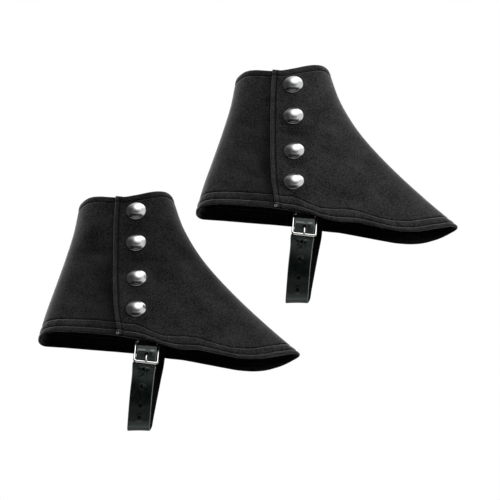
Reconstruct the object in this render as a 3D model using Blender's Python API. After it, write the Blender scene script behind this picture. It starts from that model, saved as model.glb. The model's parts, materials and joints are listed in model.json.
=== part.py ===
"""A pair of felt boot covers (spats), snapped shut and filled out, with an under-shoe strap.

Metres, +Z up. Each cover is a closed tube of felt: a heel line at the back, an instep
line that sweeps forward over the shoe, a rim round the ankle and a long hem. The origin
is the middle of the lower cover's ankle opening. The toe points to +X, and the snapped
side faces -Y. The two covers are alike, and the upper one is moved up and to the right.
"""
import math

import bmesh
import bpy
import numpy as np
from mathutils import Matrix, Vector

MM = 0.001

# Driving sizes, in millimetres
COVERS = {"lower": (0.0, 0.0, 0.0), "upper": (159.6, -64.4, 111.5)}
FELT = 1.8                # thickness of one layer of felt
GAP = 0.3                 # clearance between neighbouring pieces
RIM_WIDTH = 49.0          # ankle opening, side to side
HEM_SHIFT = 10.0          # how far the hem's middle stands out towards the snapped side
SHIFT_POWER = 1.8         # how late that flare begins on the way down
HEM_BAND = 15.0           # depth of the turned hem
HEM_EXTRA = 0.8           # the turned hem's extra thickness, inside
RIM_BAND = 8.0            # depth of the turned rim
RIM_EXTRA = 0.5           # the turned rim's extra thickness, inside
EDGE_ROUND = 1.0          # depth over which a turned edge thins
UNDERLAP = 36.0           # how far the back panel runs on under the front panel
FRONT_LIFT = 1.3          # the front panel's outer face above the common form
BACK_SINK = FELT + GAP - FRONT_LIFT   # the back panel's outer face below it
FOLD_WIDTH = 6.0          # the front panel's stitched edge fold
FOLD_EXTRA = 0.5          # its extra thickness, outside

# The heel line, the instep line and the placket's edge, down the height (0 hem, 1 rim)
LEVELS = {
    "level":     (0.0,   0.2,   0.4,   0.6,   0.8,   1.0),
    "heel_x":    (-87.8, -80.2, -70.7, -61.3, -52.9, -47.3),
    "instep_x":  (178.0, 141.9, 108.7, 80.3,  60.4,  48.5),
    "placket_x": (-7.0,  -10.8, -12.0, -12.0, -11.6, -9.8),
}
# The hem, from the heel (0) to the toe (1): half width and the height of either side
HEM = (
    # along, half,  near_z,  far_z
    (0.000, 0.0, -164.5, -164.5),
    (0.024, 15.5, -163.2, -161.4),
    (0.055, 19.5, -163.5, -159.9),
    (0.100, 22.0, -164.3, -160.1),
    (0.200, 23.9, -166.7, -161.5),
    (0.330, 24.2, -171.0, -164.6),
    (0.440, 23.4, -177.5, -169.1),
    (0.490, 22.8, -182.8, -171.9),
    (0.550, 22.2, -186.3, -174.2),
    (0.610, 21.7, -186.3, -178.0),
    (0.700, 20.9, -191.1, -183.7),
    (0.770, 19.8, -194.4, -187.8),
    (0.850, 17.0, -193.0, -189.9),
    (0.914, 14.2, -188.0, -187.2),
    (0.975, 8.7, -182.2, -181.7),
    (1.000, 0.0, -179.6, -179.6),
)
# The rim, from the heel (0) to the instep (1): the height of either side
RIM = (
    # along, near_z, far_z
    (0.000, -3.0, -3.0),
    (0.047, -0.2, -1.0),
    (0.110, 1.2, -0.6),
    (0.200, 0.3, -1.2),
    (0.360, -2.6, -2.6),
    (0.484, -3.6, -3.4),
    (0.609, -0.9, -1.6),
    (0.734, 3.1, 1.7),
    (0.859, 7.3, 5.4),
    (0.930, 9.1, 7.4),
    (0.977, 8.5, 7.4),
    (1.000, 6.5, 6.5),
)
# Soft hollows in the felt
HOLLOWS = (
    # side, x, z, half length along, half length across, slope (degrees from +X), depth
    ("near", -29.0, -66.0, 17.0, 8.0, 80.0, 1.3),
    ("near", -21.0, -117.0, 15.0, 7.0, 100.0, 1.2),
    ("near", 14.0, -81.0, 11.0, 9.0, 20.0, 0.9),
    ("near", 4.0, -40.0, 10.0, 7.0, 60.0, 0.5),
    ("near", 52.0, -66.0, 34.0, 9.0, -38.0, 1.1),
    ("near", 88.0, -106.0, 24.0, 9.0, -70.0, 1.0),
    ("far", 20.0, -60.0, 20.0, 9.0, 75.0, 1.2),
    ("far", -40.0, -100.0, 18.0, 9.0, 95.0, 1.1),
    ("far", 60.0, -104.0, 32.0, 9.0, -45.0, 1.2),
)
SINK_FROM = 0.4           # share of the back panel's columns where its sinking begins
FRONT_FALL = 0.6          # share of the front panel's own columns over which its lift dies away
FOLD_FADE = 1.5           # width over which the fold's extra thickness ends
# Columns round each panel, and rows between the turned bands
BACK_COLUMNS = 10
LAP_COLUMNS = 8
FRONT_COLUMNS = 13
INNER_COLUMNS = 22
BODY_ROWS = 7

# Snap fasteners: the caps' places, and sizes of caps and backs
SNAPS = (
    # x, z
    (10.8, -21.7),
    (11.1, -59.8),
    (12.0, -102.2),
    (11.5, -140.1),
)
CAP_RADIUS = 10.25
CAP_HEIGHT = 3.7
CAP_BASE_RADIUS = 9.3
CAP_WALL = 0.9            # height at which the dome begins
CAP_RINGS = 4             # steps over the dome
CAP_SIDES = 20
CAP_YAW = -7.0            # degrees that each cap turns on the soft felt, to the heel side
CAP_PITCH = 3.0           # degrees that it leans up
BACK_RADIUS = 5.5
BACK_HEIGHT = 1.2
BACK_SIDES = 12

# The strap: middle line from its end in the buckle, under the shoe, to the far hem
STRAP_THICKNESS = 1.6
STRAP_WIDTH = 22.6
STRAP_BUCKLE_WIDTH = 20.2
STRAP_NARROW_UNTIL = 17.5     # distance from the strap's end to where it widens
STRAP_WIDENS_OVER = 4.5
STRAP_ROUTE = (
    # x, y, z
    (22.9, -30.2, -181.6),
    (22.4, -30.4, -191.6),
    (20.9, -30.0, -202.0),
    (18.8, -27.6, -217.0),
    (17.1, -23.8, -232.0),
    (15.8, -18.6, -247.0),
    (14.8, -12.5, -259.0),
    (14.4, -6.0, -264.3),
    (16.4, 0.2, -258.0),
    (18.5, 4.2, -243.0),
    (21.8, 7.2, -221.0),
    (25.5, 9.0, -198.0),
    (29.0, 10.0, -176.0),
)
STRAP_TOP = ((29.8, -166.0), (30.4, -158.0), (31.0, -151.0))   # x, z inside the far hem
STRAP_STEPS = 40
FINE_STEPS = 2000             # points on which a smooth curve's length is measured
STRAP_SEAT_GAP = 0.45         # clearance between the strap and the far hem
HOLE_RADIUS = 1.9
HOLE_PLACES = (10.0, 27.0, 45.6, 64.3, 76.6)   # from the strap's end, unevenly punched
PRONG_SLOT = 6.6              # length of the first hole, which the prong goes through
HOLE_SIDES = 12

# The buckle: a wire frame held by a folded tab, and its prong
WIRE = 2.2
FRAME_WIDTH = 23.6            # between the side bars' middles
FRAME_CORNER = 2.6
FRAME_TOP = (23.4, -26.8, -175.8)      # middle of the top bar
FRAME_BOTTOM = (21.7, -32.8, -201.6)   # middle of the bottom bar
FRAME_LEAN = 5.6              # degrees that the buckle leans, seen from the snapped side
FRAME_YAW = 4.3               # degrees that it turns with the wall, seen from above
FAR_YAW = -2.6                # the same turn for the strap at the far hem
YAW_FADES_OVER = 70.0         # length of strap over which those turns die away
PRONG_RADIUS = 1.1
PRONG_ROUTE = (
    # down the frame, out of it: behind the strap's end, through the hole, over the bottom bar
    (8.0, -2.3),
    (13.2, -2.5),
    (15.0, -1.9),
    (16.4, -0.5),
    (17.9, 1.1),
    (19.9, 2.3),
    (23.2, 2.8),
    (27.4, 2.6),
)
TAB_WIDTH = 15.0
TAB_THICKNESS = 1.2
TAB_HEIGHTS = (-158.0, -163.0, -168.0)   # where it lies flat inside the hem
TAB_STEPS = 26
TAB_SLOT = 4.0                # slit in the tab that the prong's eye works in
TAB_SLOT_RISE = 4.5           # how far that slit reaches above the bar


def smooth_row(at, places, values):
    """A cubic through a table's rows, with each row's slope taken from its neighbours."""
    places = np.asarray(places, float)
    values = np.asarray(values, float)
    slopes = np.gradient(values, places)
    row = np.clip(np.searchsorted(places, at, side="right") - 1, 0, len(places) - 2)
    step = places[row + 1] - places[row]
    share = (np.clip(at, places[0], places[-1]) - places[row]) / step
    start, end = values[row], values[row + 1]
    lean_in, lean_out = slopes[row] * step, slopes[row + 1] * step
    return (start * (1 + 2 * share) * (1 - share) ** 2 + lean_in * share * (1 - share) ** 2
            + end * share ** 2 * (3 - 2 * share) - lean_out * share ** 2 * (1 - share))


def smoothstep(value):
    """0 up to 0, 1 from 1 on, with a soft slope between."""
    value = np.clip(value, 0.0, 1.0)
    return value * value * (3.0 - 2.0 * value)


def turn_of(along):
    """The angle round a half oval, 0 to 1, of a share of its length."""
    return np.arccos(1.0 - 2.0 * np.clip(along, 0.0, 1.0)) / math.pi


def along_of(turn):
    return (1.0 - np.cos(math.pi * turn)) / 2.0


def level_value(name, level):
    return smooth_row(level, LEVELS["level"], LEVELS[name])


def column(table, index):
    return [row[index] for row in table]


def hollow_depth(side, x, z):
    """How far the soft hollows push the felt in: each an oval with a bell-shaped fall."""
    depth = np.zeros(np.broadcast(x, z).shape)
    for where, mid_x, mid_z, length, breadth, slope, most in HOLLOWS:
        if where != side:
            continue
        turn = math.radians(slope)
        long_way = (x - mid_x) * math.cos(turn) + (z - mid_z) * math.sin(turn)
        cross_way = (z - mid_z) * math.cos(turn) - (x - mid_x) * math.sin(turn)
        depth += most * np.exp(-(long_way / length) ** 2 - (cross_way / breadth) ** 2)
    return depth


def cover_form(turn, level, side):
    """The cover's common outer form at a turn (0 heel, 1 toe) and a level (0 hem, 1 rim)."""
    turn, level = np.broadcast_arrays(np.asarray(turn, float), np.asarray(level, float))
    along = along_of(turn)
    hem_turns = turn_of(np.array(column(HEM, 0)))
    rim_turns = turn_of(np.array(column(RIM, 0)))
    sign = -1.0 if side == "near" else 1.0
    side_column = 0 if side == "near" else 1
    heel = level_value("heel_x", level)
    instep = level_value("instep_x", level)
    hem_half = smooth_row(turn, hem_turns, column(HEM, 1))
    rim_half = RIM_WIDTH / 2.0 * np.sin(math.pi * turn)
    half = hem_half + (rim_half - hem_half) * level
    hem_z = smooth_row(turn, hem_turns, column(HEM, 2 + side_column))
    rim_z = smooth_row(turn, rim_turns, column(RIM, 1 + side_column))
    x = heel + (instep - heel) * along
    y = sign * half - HEM_SHIFT * np.clip(1.0 - level, 0.0, 1.0) ** SHIFT_POWER
    z = hem_z + (rim_z - hem_z) * level
    y = y - sign * hollow_depth(side, x, z)
    return np.stack([x, y, z], axis=-1)


def lap_turns(level):
    """The turns of the placket's edge and of the underlap's end at a level."""
    heel = level_value("heel_x", level)
    length = level_value("instep_x", level) - heel
    placket = level_value("placket_x", level)
    return turn_of((placket - heel) / length), turn_of((placket + UNDERLAP - heel) / length)


def band_levels(turn, side):
    """The level of each row of points: close rows in the turned bands, even ones between."""
    step = 0.01
    low = cover_form(turn, 0.0, side)
    along_hem = cover_form(turn + step, 0.0, side) - cover_form(turn - step, 0.0, side)
    along_hem /= np.linalg.norm(along_hem, axis=-1, keepdims=True)
    hem_rise = np.linalg.norm(np.cross(cover_form(turn, step, side) - low, along_hem), axis=-1)
    rim_rise = np.linalg.norm(
        cover_form(turn, 1.0, side) - cover_form(turn, 1.0 - step, side), axis=-1)
    hem_rows = [share / (hem_rise / step)
                for share in (0.0, EDGE_ROUND, HEM_BAND / 2, HEM_BAND, HEM_BAND + EDGE_ROUND)]
    rim_rows = [1.0 - share / (rim_rise / step)
                for share in (RIM_BAND + EDGE_ROUND, RIM_BAND, EDGE_ROUND, 0.0)]
    shares = np.arange(1, BODY_ROWS + 1) / (BODY_ROWS + 1)
    body_rows = [hem_rows[-1] + (rim_rows[0] - hem_rows[-1]) * share for share in shares]
    return np.stack(hem_rows + body_rows + rim_rows)


def row_profile():
    """For each row of points: the extra thickness inside, and how far the edge is rounded in."""
    extra = [HEM_EXTRA] * 4 + [0.0] + [0.0] * BODY_ROWS + [0.0] + [RIM_EXTRA] * 3
    pinch = [FELT / 3] + [0.0] * (len(extra) - 2) + [FELT / 3]
    return np.array(extra)[:, None], np.array(pinch)[:, None]


def near_turns(levels):
    """Turns of the near side's columns at each row: back, overlap and front in even steps."""
    lap_start, lap_end = lap_turns(levels)
    back = [lap_start * step / BACK_COLUMNS for step in range(BACK_COLUMNS)]
    lap = [lap_start + (lap_end - lap_start) * step / LAP_COLUMNS for step in range(LAP_COLUMNS)]
    front = [lap_end + (1.0 - lap_end) * step / FRONT_COLUMNS for step in range(FRONT_COLUMNS + 1)]
    return np.stack(back + lap + front, axis=-1)


def ring_grid():
    """Points and outward normals round the whole cover, rows up it and columns round it.

    Columns run from the heel along the near side to the toe, and back along the far side.
    """
    middle = near_turns(np.array(0.5))
    levels = band_levels(middle, "near")
    turns = np.stack([near_turns(row)[np.arange(len(middle)), np.arange(len(middle))]
                      for row in levels])
    near = cover_form(turns, levels, "near")
    far_turns = np.linspace(1.0, 0.0, INNER_COLUMNS + 1)
    far = cover_form(far_turns, band_levels(far_turns, "far"), "far")
    far[:, 0], far[:, -1] = near[:, -1], near[:, 0]
    ring = np.concatenate([near, far[:, 1:-1]], axis=1)
    round_way = np.roll(ring, -1, axis=1) - np.roll(ring, 1, axis=1)
    up_way = np.gradient(ring, axis=0)
    normals = np.cross(round_way, up_way)
    normals /= np.linalg.norm(normals, axis=-1, keepdims=True)
    return ring, normals


def form_at(x, z, side):
    """The common form's outer point and normal at a given x and z on one side."""
    turn, level = 0.5, 0.5
    for _ in range(60):
        point = cover_form(turn, level, side)
        heel, instep = level_value("heel_x", level), level_value("instep_x", level)
        turn = float(turn_of((x - heel) / (instep - heel)))
        low, high = cover_form(turn, 0.0, side)[2], cover_form(turn, 1.0, side)[2]
        level = (z - low) / (high - low)
    step = 0.02
    round_way = cover_form(turn + step, level, side) - cover_form(turn - step, level, side)
    up_way = cover_form(turn, level + step, side) - cover_form(turn, level - step, side)
    normal = np.cross(round_way, up_way)
    normal /= np.linalg.norm(normal)
    point = cover_form(turn, level, side)
    return point, normal if side == "near" else -normal


def make_material(name, colour, roughness, metallic):
    material = bpy.data.materials.new(name)
    material.use_nodes = True
    shader = material.node_tree.nodes["Principled BSDF"]
    shader.inputs["Base Color"].default_value = (*colour, 1.0)
    shader.inputs["Roughness"].default_value = roughness
    shader.inputs["Metallic"].default_value = metallic
    return material


def add_object(name, points, faces, material, offset):
    """A smooth-shaded object from points in millimetres, placed by its location."""
    mesh = bpy.data.meshes.new(name)
    mesh.from_pydata([tuple(point) for point in np.asarray(points) * MM], [], faces)
    shape = bmesh.new()
    shape.from_mesh(mesh)
    bmesh.ops.recalc_face_normals(shape, faces=shape.faces)
    shape.to_mesh(mesh)
    shape.free()
    mesh.materials.append(material)
    piece = bpy.data.objects.new(name, mesh)
    bpy.context.scene.collection.objects.link(piece)
    mesh.shade_smooth()
    mesh.set_sharp_from_angle(angle=math.radians(40))
    piece.location = Vector(offset) * MM
    return piece


def wall_faces(rows, columns):
    """Faces of a closed wall: outer grid, inner grid and the strip that joins their edges."""
    count = rows * columns
    faces = []
    for row in range(rows - 1):
        for place in range(columns - 1):
            corner = row * columns + place
            outer = [corner, corner + 1, corner + columns + 1, corner + columns]
            faces.append(outer)
            faces.append([index + count for index in reversed(outer)])
    edge = list(range(columns - 1))
    edge += [row * columns + columns - 1 for row in range(rows - 1)]
    edge += [count - 1 - place for place in range(columns - 1)]
    edge += [row * columns for row in range(rows - 1, 0, -1)]
    for here, after in zip(edge, edge[1:] + edge[:1]):
        faces.append([after, here, here + count, after + count])
    return faces


def add_panel(name, ring, normals, columns, lift, turned, seams, material, offset):
    """A felt panel: the ring's points moved out by its lift, and in again by its thickness.

    turned is the share of the turned bands' extra thickness that each column has, and seams
    gives the side, -1 or 1, that the first and the last column draw back to, or 0.
    """
    outer_face, out = ring[:, columns], normals[:, columns]
    extra, pinch = row_profile()
    outer = outer_face + out * (lift - pinch)[..., None]
    inner = outer_face + out * (lift - FELT - extra * turned + pinch)[..., None]
    for place, side in zip((0, -1), seams):
        for points in (outer, inner):
            points[:, place, 1] += side * GAP / 2
    points = np.concatenate([outer.reshape(-1, 3), inner.reshape(-1, 3)])
    return add_object(name, points, wall_faces(len(ring), len(columns)), material, offset)


def add_panels(name, offset, felt):
    """The back panel with its underlap, the front panel over it, and the inner panel."""
    ring, normals = ring_grid()
    rows, total = ring.shape[:2]
    toe = BACK_COLUMNS + LAP_COLUMNS + FRONT_COLUMNS
    back = np.arange(0, BACK_COLUMNS + LAP_COLUMNS + 1)
    front = np.arange(BACK_COLUMNS, toe + 1)
    inner = np.arange(toe, total + 1) % total

    sink = -BACK_SINK * smoothstep((back / BACK_COLUMNS - SINK_FROM) / (1.0 - SINK_FROM))
    run = np.linalg.norm(ring[:, front] - ring[:, front[:1]], axis=-1)
    fall = smoothstep((front - BACK_COLUMNS - LAP_COLUMNS) / (FRONT_FALL * FRONT_COLUMNS))
    fold = FOLD_EXTRA * (1.0 - smoothstep((run - FOLD_WIDTH) / FOLD_FADE))
    add_panel(f"{name}_back_panel", ring, normals, back, np.tile(sink, (rows, 1)),
              1.0, (-1, 0), felt, offset)
    add_panel(f"{name}_front_panel", ring, normals, front, FRONT_LIFT * (1.0 - fall) + fold,
              fall, (0, -1), felt, offset)
    add_panel(f"{name}_inner_panel", ring, normals, inner, np.zeros((rows, len(inner))),
              1.0, (1, 1), felt, offset)


def add_turned(name, profile, sides, point, normal, material, offset):
    """A turned piece: a profile of (radius, height) spun round the normal at a point."""
    shape = bmesh.new()
    chain = [shape.verts.new((radius * MM, 0.0, height * MM)) for radius, height in profile]
    edges = [shape.edges.new(pair) for pair in zip(chain, chain[1:])]
    bmesh.ops.spin(shape, geom=chain + edges, axis=(0, 0, 1), cent=(0, 0, 0),
                   angle=2 * math.pi, steps=sides, use_merge=True)
    bmesh.ops.remove_doubles(shape, verts=shape.verts, dist=0.00001)
    bmesh.ops.recalc_face_normals(shape, faces=shape.faces)
    mesh = bpy.data.meshes.new(name)
    shape.to_mesh(mesh)
    shape.free()
    mesh.materials.append(material)
    mesh.shade_smooth()
    mesh.set_sharp_from_angle(angle=math.radians(40))
    piece = bpy.data.objects.new(name, mesh)
    bpy.context.scene.collection.objects.link(piece)
    turn = Vector((0, 0, 1)).rotation_difference(Vector(normal)).to_matrix().to_4x4()
    place = (Vector(point) + Vector(offset)) * MM
    piece.matrix_world = Matrix.Translation(place) @ turn
    return piece


def cap_profile():
    """A domed cap: a ball's cap over a short wall, from the top of its dome to its base's middle."""
    rise = CAP_HEIGHT - CAP_WALL
    sphere = (CAP_RADIUS ** 2 + rise ** 2) / (2 * rise)
    reach = math.asin(CAP_RADIUS / sphere)
    dome = [(sphere * math.sin(reach * step / CAP_RINGS),
             CAP_HEIGHT + sphere * (math.cos(reach * step / CAP_RINGS) - 1.0))
            for step in range(CAP_RINGS + 1)]
    return dome + [(CAP_BASE_RADIUS, 0.0), (0.0, 0.0)]


def cap_seat(x, z):
    """A cap's base middle and axis: turned a little, and out until its low edge is clear."""
    point, normal = form_at(x, z, "near")
    aside = np.cross(normal, (0.0, 0.0, 1.0))
    aside /= np.linalg.norm(aside)
    up = np.cross(aside, normal)
    yaw, pitch = math.radians(CAP_YAW), math.radians(CAP_PITCH)
    axis = normal - aside * math.tan(yaw) + up * math.tan(pitch)
    axis /= np.linalg.norm(axis)
    lean = math.sqrt(1.0 - float(axis.dot(normal)) ** 2)
    return point + normal * (FRONT_LIFT + GAP + CAP_BASE_RADIUS * lean), axis


def add_snaps(name, offset, metal):
    """Four domed caps on the front panel, and their plain backs inside the underlap."""
    back = [(0.0, BACK_HEIGHT), (BACK_RADIUS - 0.6, BACK_HEIGHT), (BACK_RADIUS, BACK_HEIGHT - 0.5),
            (BACK_RADIUS, 0.0), (0.0, 0.0)]
    inside = BACK_SINK + FELT + GAP
    for number, (x, z) in enumerate(SNAPS, start=1):
        seat, axis = cap_seat(x, z)
        add_turned(f"{name}_snap_cap_{number}", cap_profile(), CAP_SIDES, seat, axis, metal,
                   offset)
        point, normal = form_at(x, z, "near")
        add_turned(f"{name}_snap_back_{number}", back, BACK_SIDES,
                   point - normal * inside, -normal, metal, offset)


def smooth_path(points, steps):
    """Even steps along a smooth curve through points."""
    points = np.asarray(points, float)
    reach = np.concatenate([[0.0], np.cumsum(np.linalg.norm(np.diff(points, axis=0), axis=1))])
    fine = np.linspace(0.0, reach[-1], FINE_STEPS)
    curve = np.stack([smooth_row(fine, reach, points[:, axis]) for axis in range(3)], axis=-1)
    length = np.concatenate([[0.0], np.cumsum(np.linalg.norm(np.diff(curve, axis=0), axis=1))])
    even = np.linspace(0.0, length[-1], steps + 1)
    return np.stack([np.interp(even, length, curve[:, axis]) for axis in range(3)], axis=-1), even


def ribbon_frame(path, sideways):
    """Across and outward directions of a flat ribbon along a path, held to a side direction."""
    ahead = np.gradient(path, axis=0)
    ahead /= np.linalg.norm(ahead, axis=1, keepdims=True)
    across = sideways - ahead * np.sum(sideways * ahead, axis=1, keepdims=True)
    across /= np.linalg.norm(across, axis=1, keepdims=True)
    return across, np.cross(ahead, across)


def add_ribbon(name, path, sideways, width, thickness, material, offset):
    """A flat ribbon with softened long edges: six points round each section."""
    across, out = ribbon_frame(path, sideways)
    half = (np.asarray(width) / 2 * np.ones(len(path)))[:, None]
    soft, thick = thickness / 4, thickness / 2
    section = [(-1.0, 0.0, 0.0), (-1.0, soft, thick), (1.0, -soft, thick),
               (1.0, 0.0, 0.0), (1.0, -soft, -thick), (-1.0, soft, -thick)]
    rings = np.stack([path + across * (side * half + shift) + out * height
                      for side, shift, height in section], axis=1)
    count = len(section)
    faces = []
    for ring in range(len(path) - 1):
        for side in range(count):
            here, after = ring * count + side, ring * count + (side + 1) % count
            faces.append([here, after, after + count, here + count])
    last = (len(path) - 1) * count
    faces.append(list(range(count))[::-1])
    faces.append([last + side for side in range(count)])
    return add_object(name, rings.reshape(-1, 3), faces, material, offset)


def cut_hole(piece, name, point, across, out, radii, depth, offset):
    """Cuts a round or long hole through a piece, out along a direction."""
    ahead = np.cross(out, across)
    outline = [point + across * (radii[0] * math.cos(turn)) + ahead * (radii[1] * math.sin(turn))
               for turn in np.arange(HOLE_SIDES) * 2 * math.pi / HOLE_SIDES]
    points = [spot - out * depth for spot in outline] + [spot + out * depth for spot in outline]
    cut_prism(piece, name, points, offset)


def cut_prism(piece, name, points, offset):
    """Cuts a prism out of a piece: the points are one end's outline, then the other's."""
    sides = len(points) // 2
    faces = [[side, (side + 1) % sides, (side + 1) % sides + sides, side + sides]
             for side in range(sides)]
    faces += [list(range(sides))[::-1], list(range(sides, 2 * sides))]
    cutter = add_object(name, points, faces, piece.data.materials[0], offset)
    cutter.hide_render = True
    cutter.display_type = "WIRE"
    cut = piece.modifiers.new(name, "BOOLEAN")
    cut.operation = "DIFFERENCE"
    cut.object = cutter


def far_seat(x, z):
    """A point of the strap's middle line where it is sewn inside the far hem."""
    point, normal = form_at(x, z, "far")
    return point - normal * (FELT + HEM_EXTRA + STRAP_SEAT_GAP + STRAP_THICKNESS / 2)


def add_strap(name, offset, vinyl):
    """The strap, narrowed where it passes the buckle, with five holes down its near run."""
    route = list(STRAP_ROUTE) + [far_seat(x, z) for x, z in STRAP_TOP]
    path, reach = smooth_path(route, STRAP_STEPS)
    widen = smoothstep((reach - STRAP_NARROW_UNTIL) / STRAP_WIDENS_OVER)
    width = STRAP_BUCKLE_WIDTH + (STRAP_WIDTH - STRAP_BUCKLE_WIDTH) * widen
    near_yaw = FRAME_YAW * (1.0 - smoothstep(reach / YAW_FADES_OVER))
    far_yaw = FAR_YAW * (1.0 - smoothstep((reach[-1] - reach) / YAW_FADES_OVER))
    yaw = np.radians(near_yaw + far_yaw)
    sideways = np.stack([np.cos(yaw), np.sin(yaw), np.zeros(len(yaw))], axis=1)
    strap = add_ribbon(f"{name}_strap", path, sideways, width, STRAP_THICKNESS, vinyl, offset)
    across, out = ribbon_frame(path, sideways)
    for number, place in enumerate(HOLE_PLACES, start=1):
        point, side, away = (np.array([np.interp(place, reach, rows[:, axis]) for axis in range(3)])
                             for rows in (path, across, out))
        length = PRONG_SLOT / 2 if number == 1 else HOLE_RADIUS
        cut_hole(strap, f"{name}_hole_cutter_{number}", point, side, away,
                 (HOLE_RADIUS, length), STRAP_THICKNESS * 2, offset)
    return strap


def buckle_axes():
    """The frame's middle, and its directions across, down and out."""
    top, bottom = np.array(FRAME_TOP), np.array(FRAME_BOTTOM)
    down = (bottom - top) / np.linalg.norm(bottom - top)
    lean, yaw = math.radians(FRAME_LEAN), math.radians(FRAME_YAW)
    across = np.array([math.cos(lean), math.sin(yaw), -math.sin(lean)])
    across -= down * across.dot(down)
    across /= np.linalg.norm(across)
    return (top + bottom) / 2, across, down, np.cross(down, across)


def add_wire(name, points, radius, closed, sides, material, offset):
    """A round wire along points: a curve with a bevel and filled ends."""
    curve = bpy.data.curves.new(name, "CURVE")
    curve.dimensions = "3D"
    curve.bevel_depth = radius * MM
    curve.bevel_resolution = sides
    curve.use_fill_caps = True
    spline = curve.splines.new("POLY")
    spline.points.add(len(points) - 1)
    for spot, point in zip(spline.points, points):
        spot.co = (*(Vector(point) * MM), 1.0)
    spline.use_cyclic_u = closed
    curve.materials.append(material)
    piece = bpy.data.objects.new(name, curve)
    bpy.context.scene.collection.objects.link(piece)
    piece.location = Vector(offset) * MM
    return piece


def add_frame(name, offset, metal):
    """The buckle's closed wire frame, a rectangle with round corners."""
    middle, across, down, _ = buckle_axes()
    wide = FRAME_WIDTH / 2 - FRAME_CORNER
    tall = np.linalg.norm(np.array(FRAME_BOTTOM) - np.array(FRAME_TOP)) / 2 - FRAME_CORNER
    points = []
    for corner, (side, end) in enumerate(((1, 1), (-1, 1), (-1, -1), (1, -1))):
        for step in range(5):
            turn = math.radians(90 * corner + 22.5 * step)
            points.append(middle + across * (side * wide + FRAME_CORNER * math.cos(turn))
                          + down * (end * tall + FRAME_CORNER * math.sin(turn)))
    add_wire(f"{name}_buckle_frame", points, WIRE / 2, True, 2, metal, offset)


def add_prong(name, offset, metal):
    """The prong: hooked over the top bar, down behind the strap's end, out through its hole."""
    _, _, down, out = buckle_axes()
    hinge = np.array(FRAME_TOP)
    eye = WIRE / 2 + GAP + PRONG_RADIUS
    points = [hinge + out * eye * math.cos(turn) - down * eye * math.sin(turn)
              for turn in np.radians(np.linspace(40, 180, 6))]
    points += [hinge + down * ahead + out * stand for ahead, stand in PRONG_ROUTE]
    add_wire(f"{name}_buckle_prong", points, PRONG_RADIUS, False, 2, metal, offset)


def add_tab(name, offset, felt):
    """The tab sewn inside the near hem, folded round the buckle's top bar."""
    hinge = np.array(FRAME_TOP)
    _, across, _, _ = buckle_axes()
    down = np.array([0.0, 0.0, -1.0]) + across * across[2]
    down /= np.linalg.norm(down)
    out = np.cross(down, across)
    bend = WIRE / 2 + GAP + TAB_THICKNESS / 2
    seat = BACK_SINK + FELT + HEM_EXTRA + GAP + TAB_THICKNESS / 2
    front, rear = [], []
    for height in TAB_HEIGHTS:
        lean = (height - hinge[2]) * math.tan(math.radians(FRAME_LEAN))
        point, normal = form_at(hinge[0] + lean, height, "near")
        front.append(point - normal * seat)
        rear.append(front[-1] - normal * (TAB_THICKNESS + GAP))
    loop = [hinge + bend * (out * math.cos(turn) + down * math.sin(turn))
            for turn in np.radians(np.linspace(0, 180, 9))]
    path, _ = smooth_path(front + loop + rear[::-1], TAB_STEPS)
    tab = add_ribbon(f"{name}_buckle_tab", path, across, TAB_WIDTH, TAB_THICKNESS, felt, offset)
    rise = TAB_SLOT_RISE
    slit = [(side * TAB_SLOT / 2, depth, height) for height in (rise, -rise)
            for side, depth in ((-1, -rise), (1, -rise), (1, rise), (-1, rise))]
    cut_prism(tab, f"{name}_tab_cutter", [hinge + np.array(corner) for corner in slit], offset)


def add_cover(name, offset, felt, vinyl, metal):
    add_panels(name, offset, felt)
    add_snaps(name, offset, metal)
    add_tab(name, offset, felt)
    add_strap(name, offset, vinyl)
    add_frame(name, offset, metal)
    add_prong(name, offset, metal)


def main():
    for piece in list(bpy.data.objects):
        bpy.data.objects.remove(piece)
    felt = make_material("black_felt", (0.018, 0.018, 0.018), 0.95, 0.0)
    vinyl = make_material("black_vinyl", (0.015, 0.018, 0.016), 0.3, 0.0)
    metal = make_material("bright_nickel", (0.72, 0.73, 0.74), 0.25, 1.0)
    for name, offset in COVERS.items():
        add_cover(name, offset, felt, vinyl, metal)


main()
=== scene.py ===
"""Looks of the pair of felt boot covers: felt walls, sewing, snap caps, buckles and straps.

Sizes are in millimetres and become metres when a mesh is made. The lower cover's ankle
opening is the origin, toes point to +X, and the snapped side faces -Y.
"""
import json
import math

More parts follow.
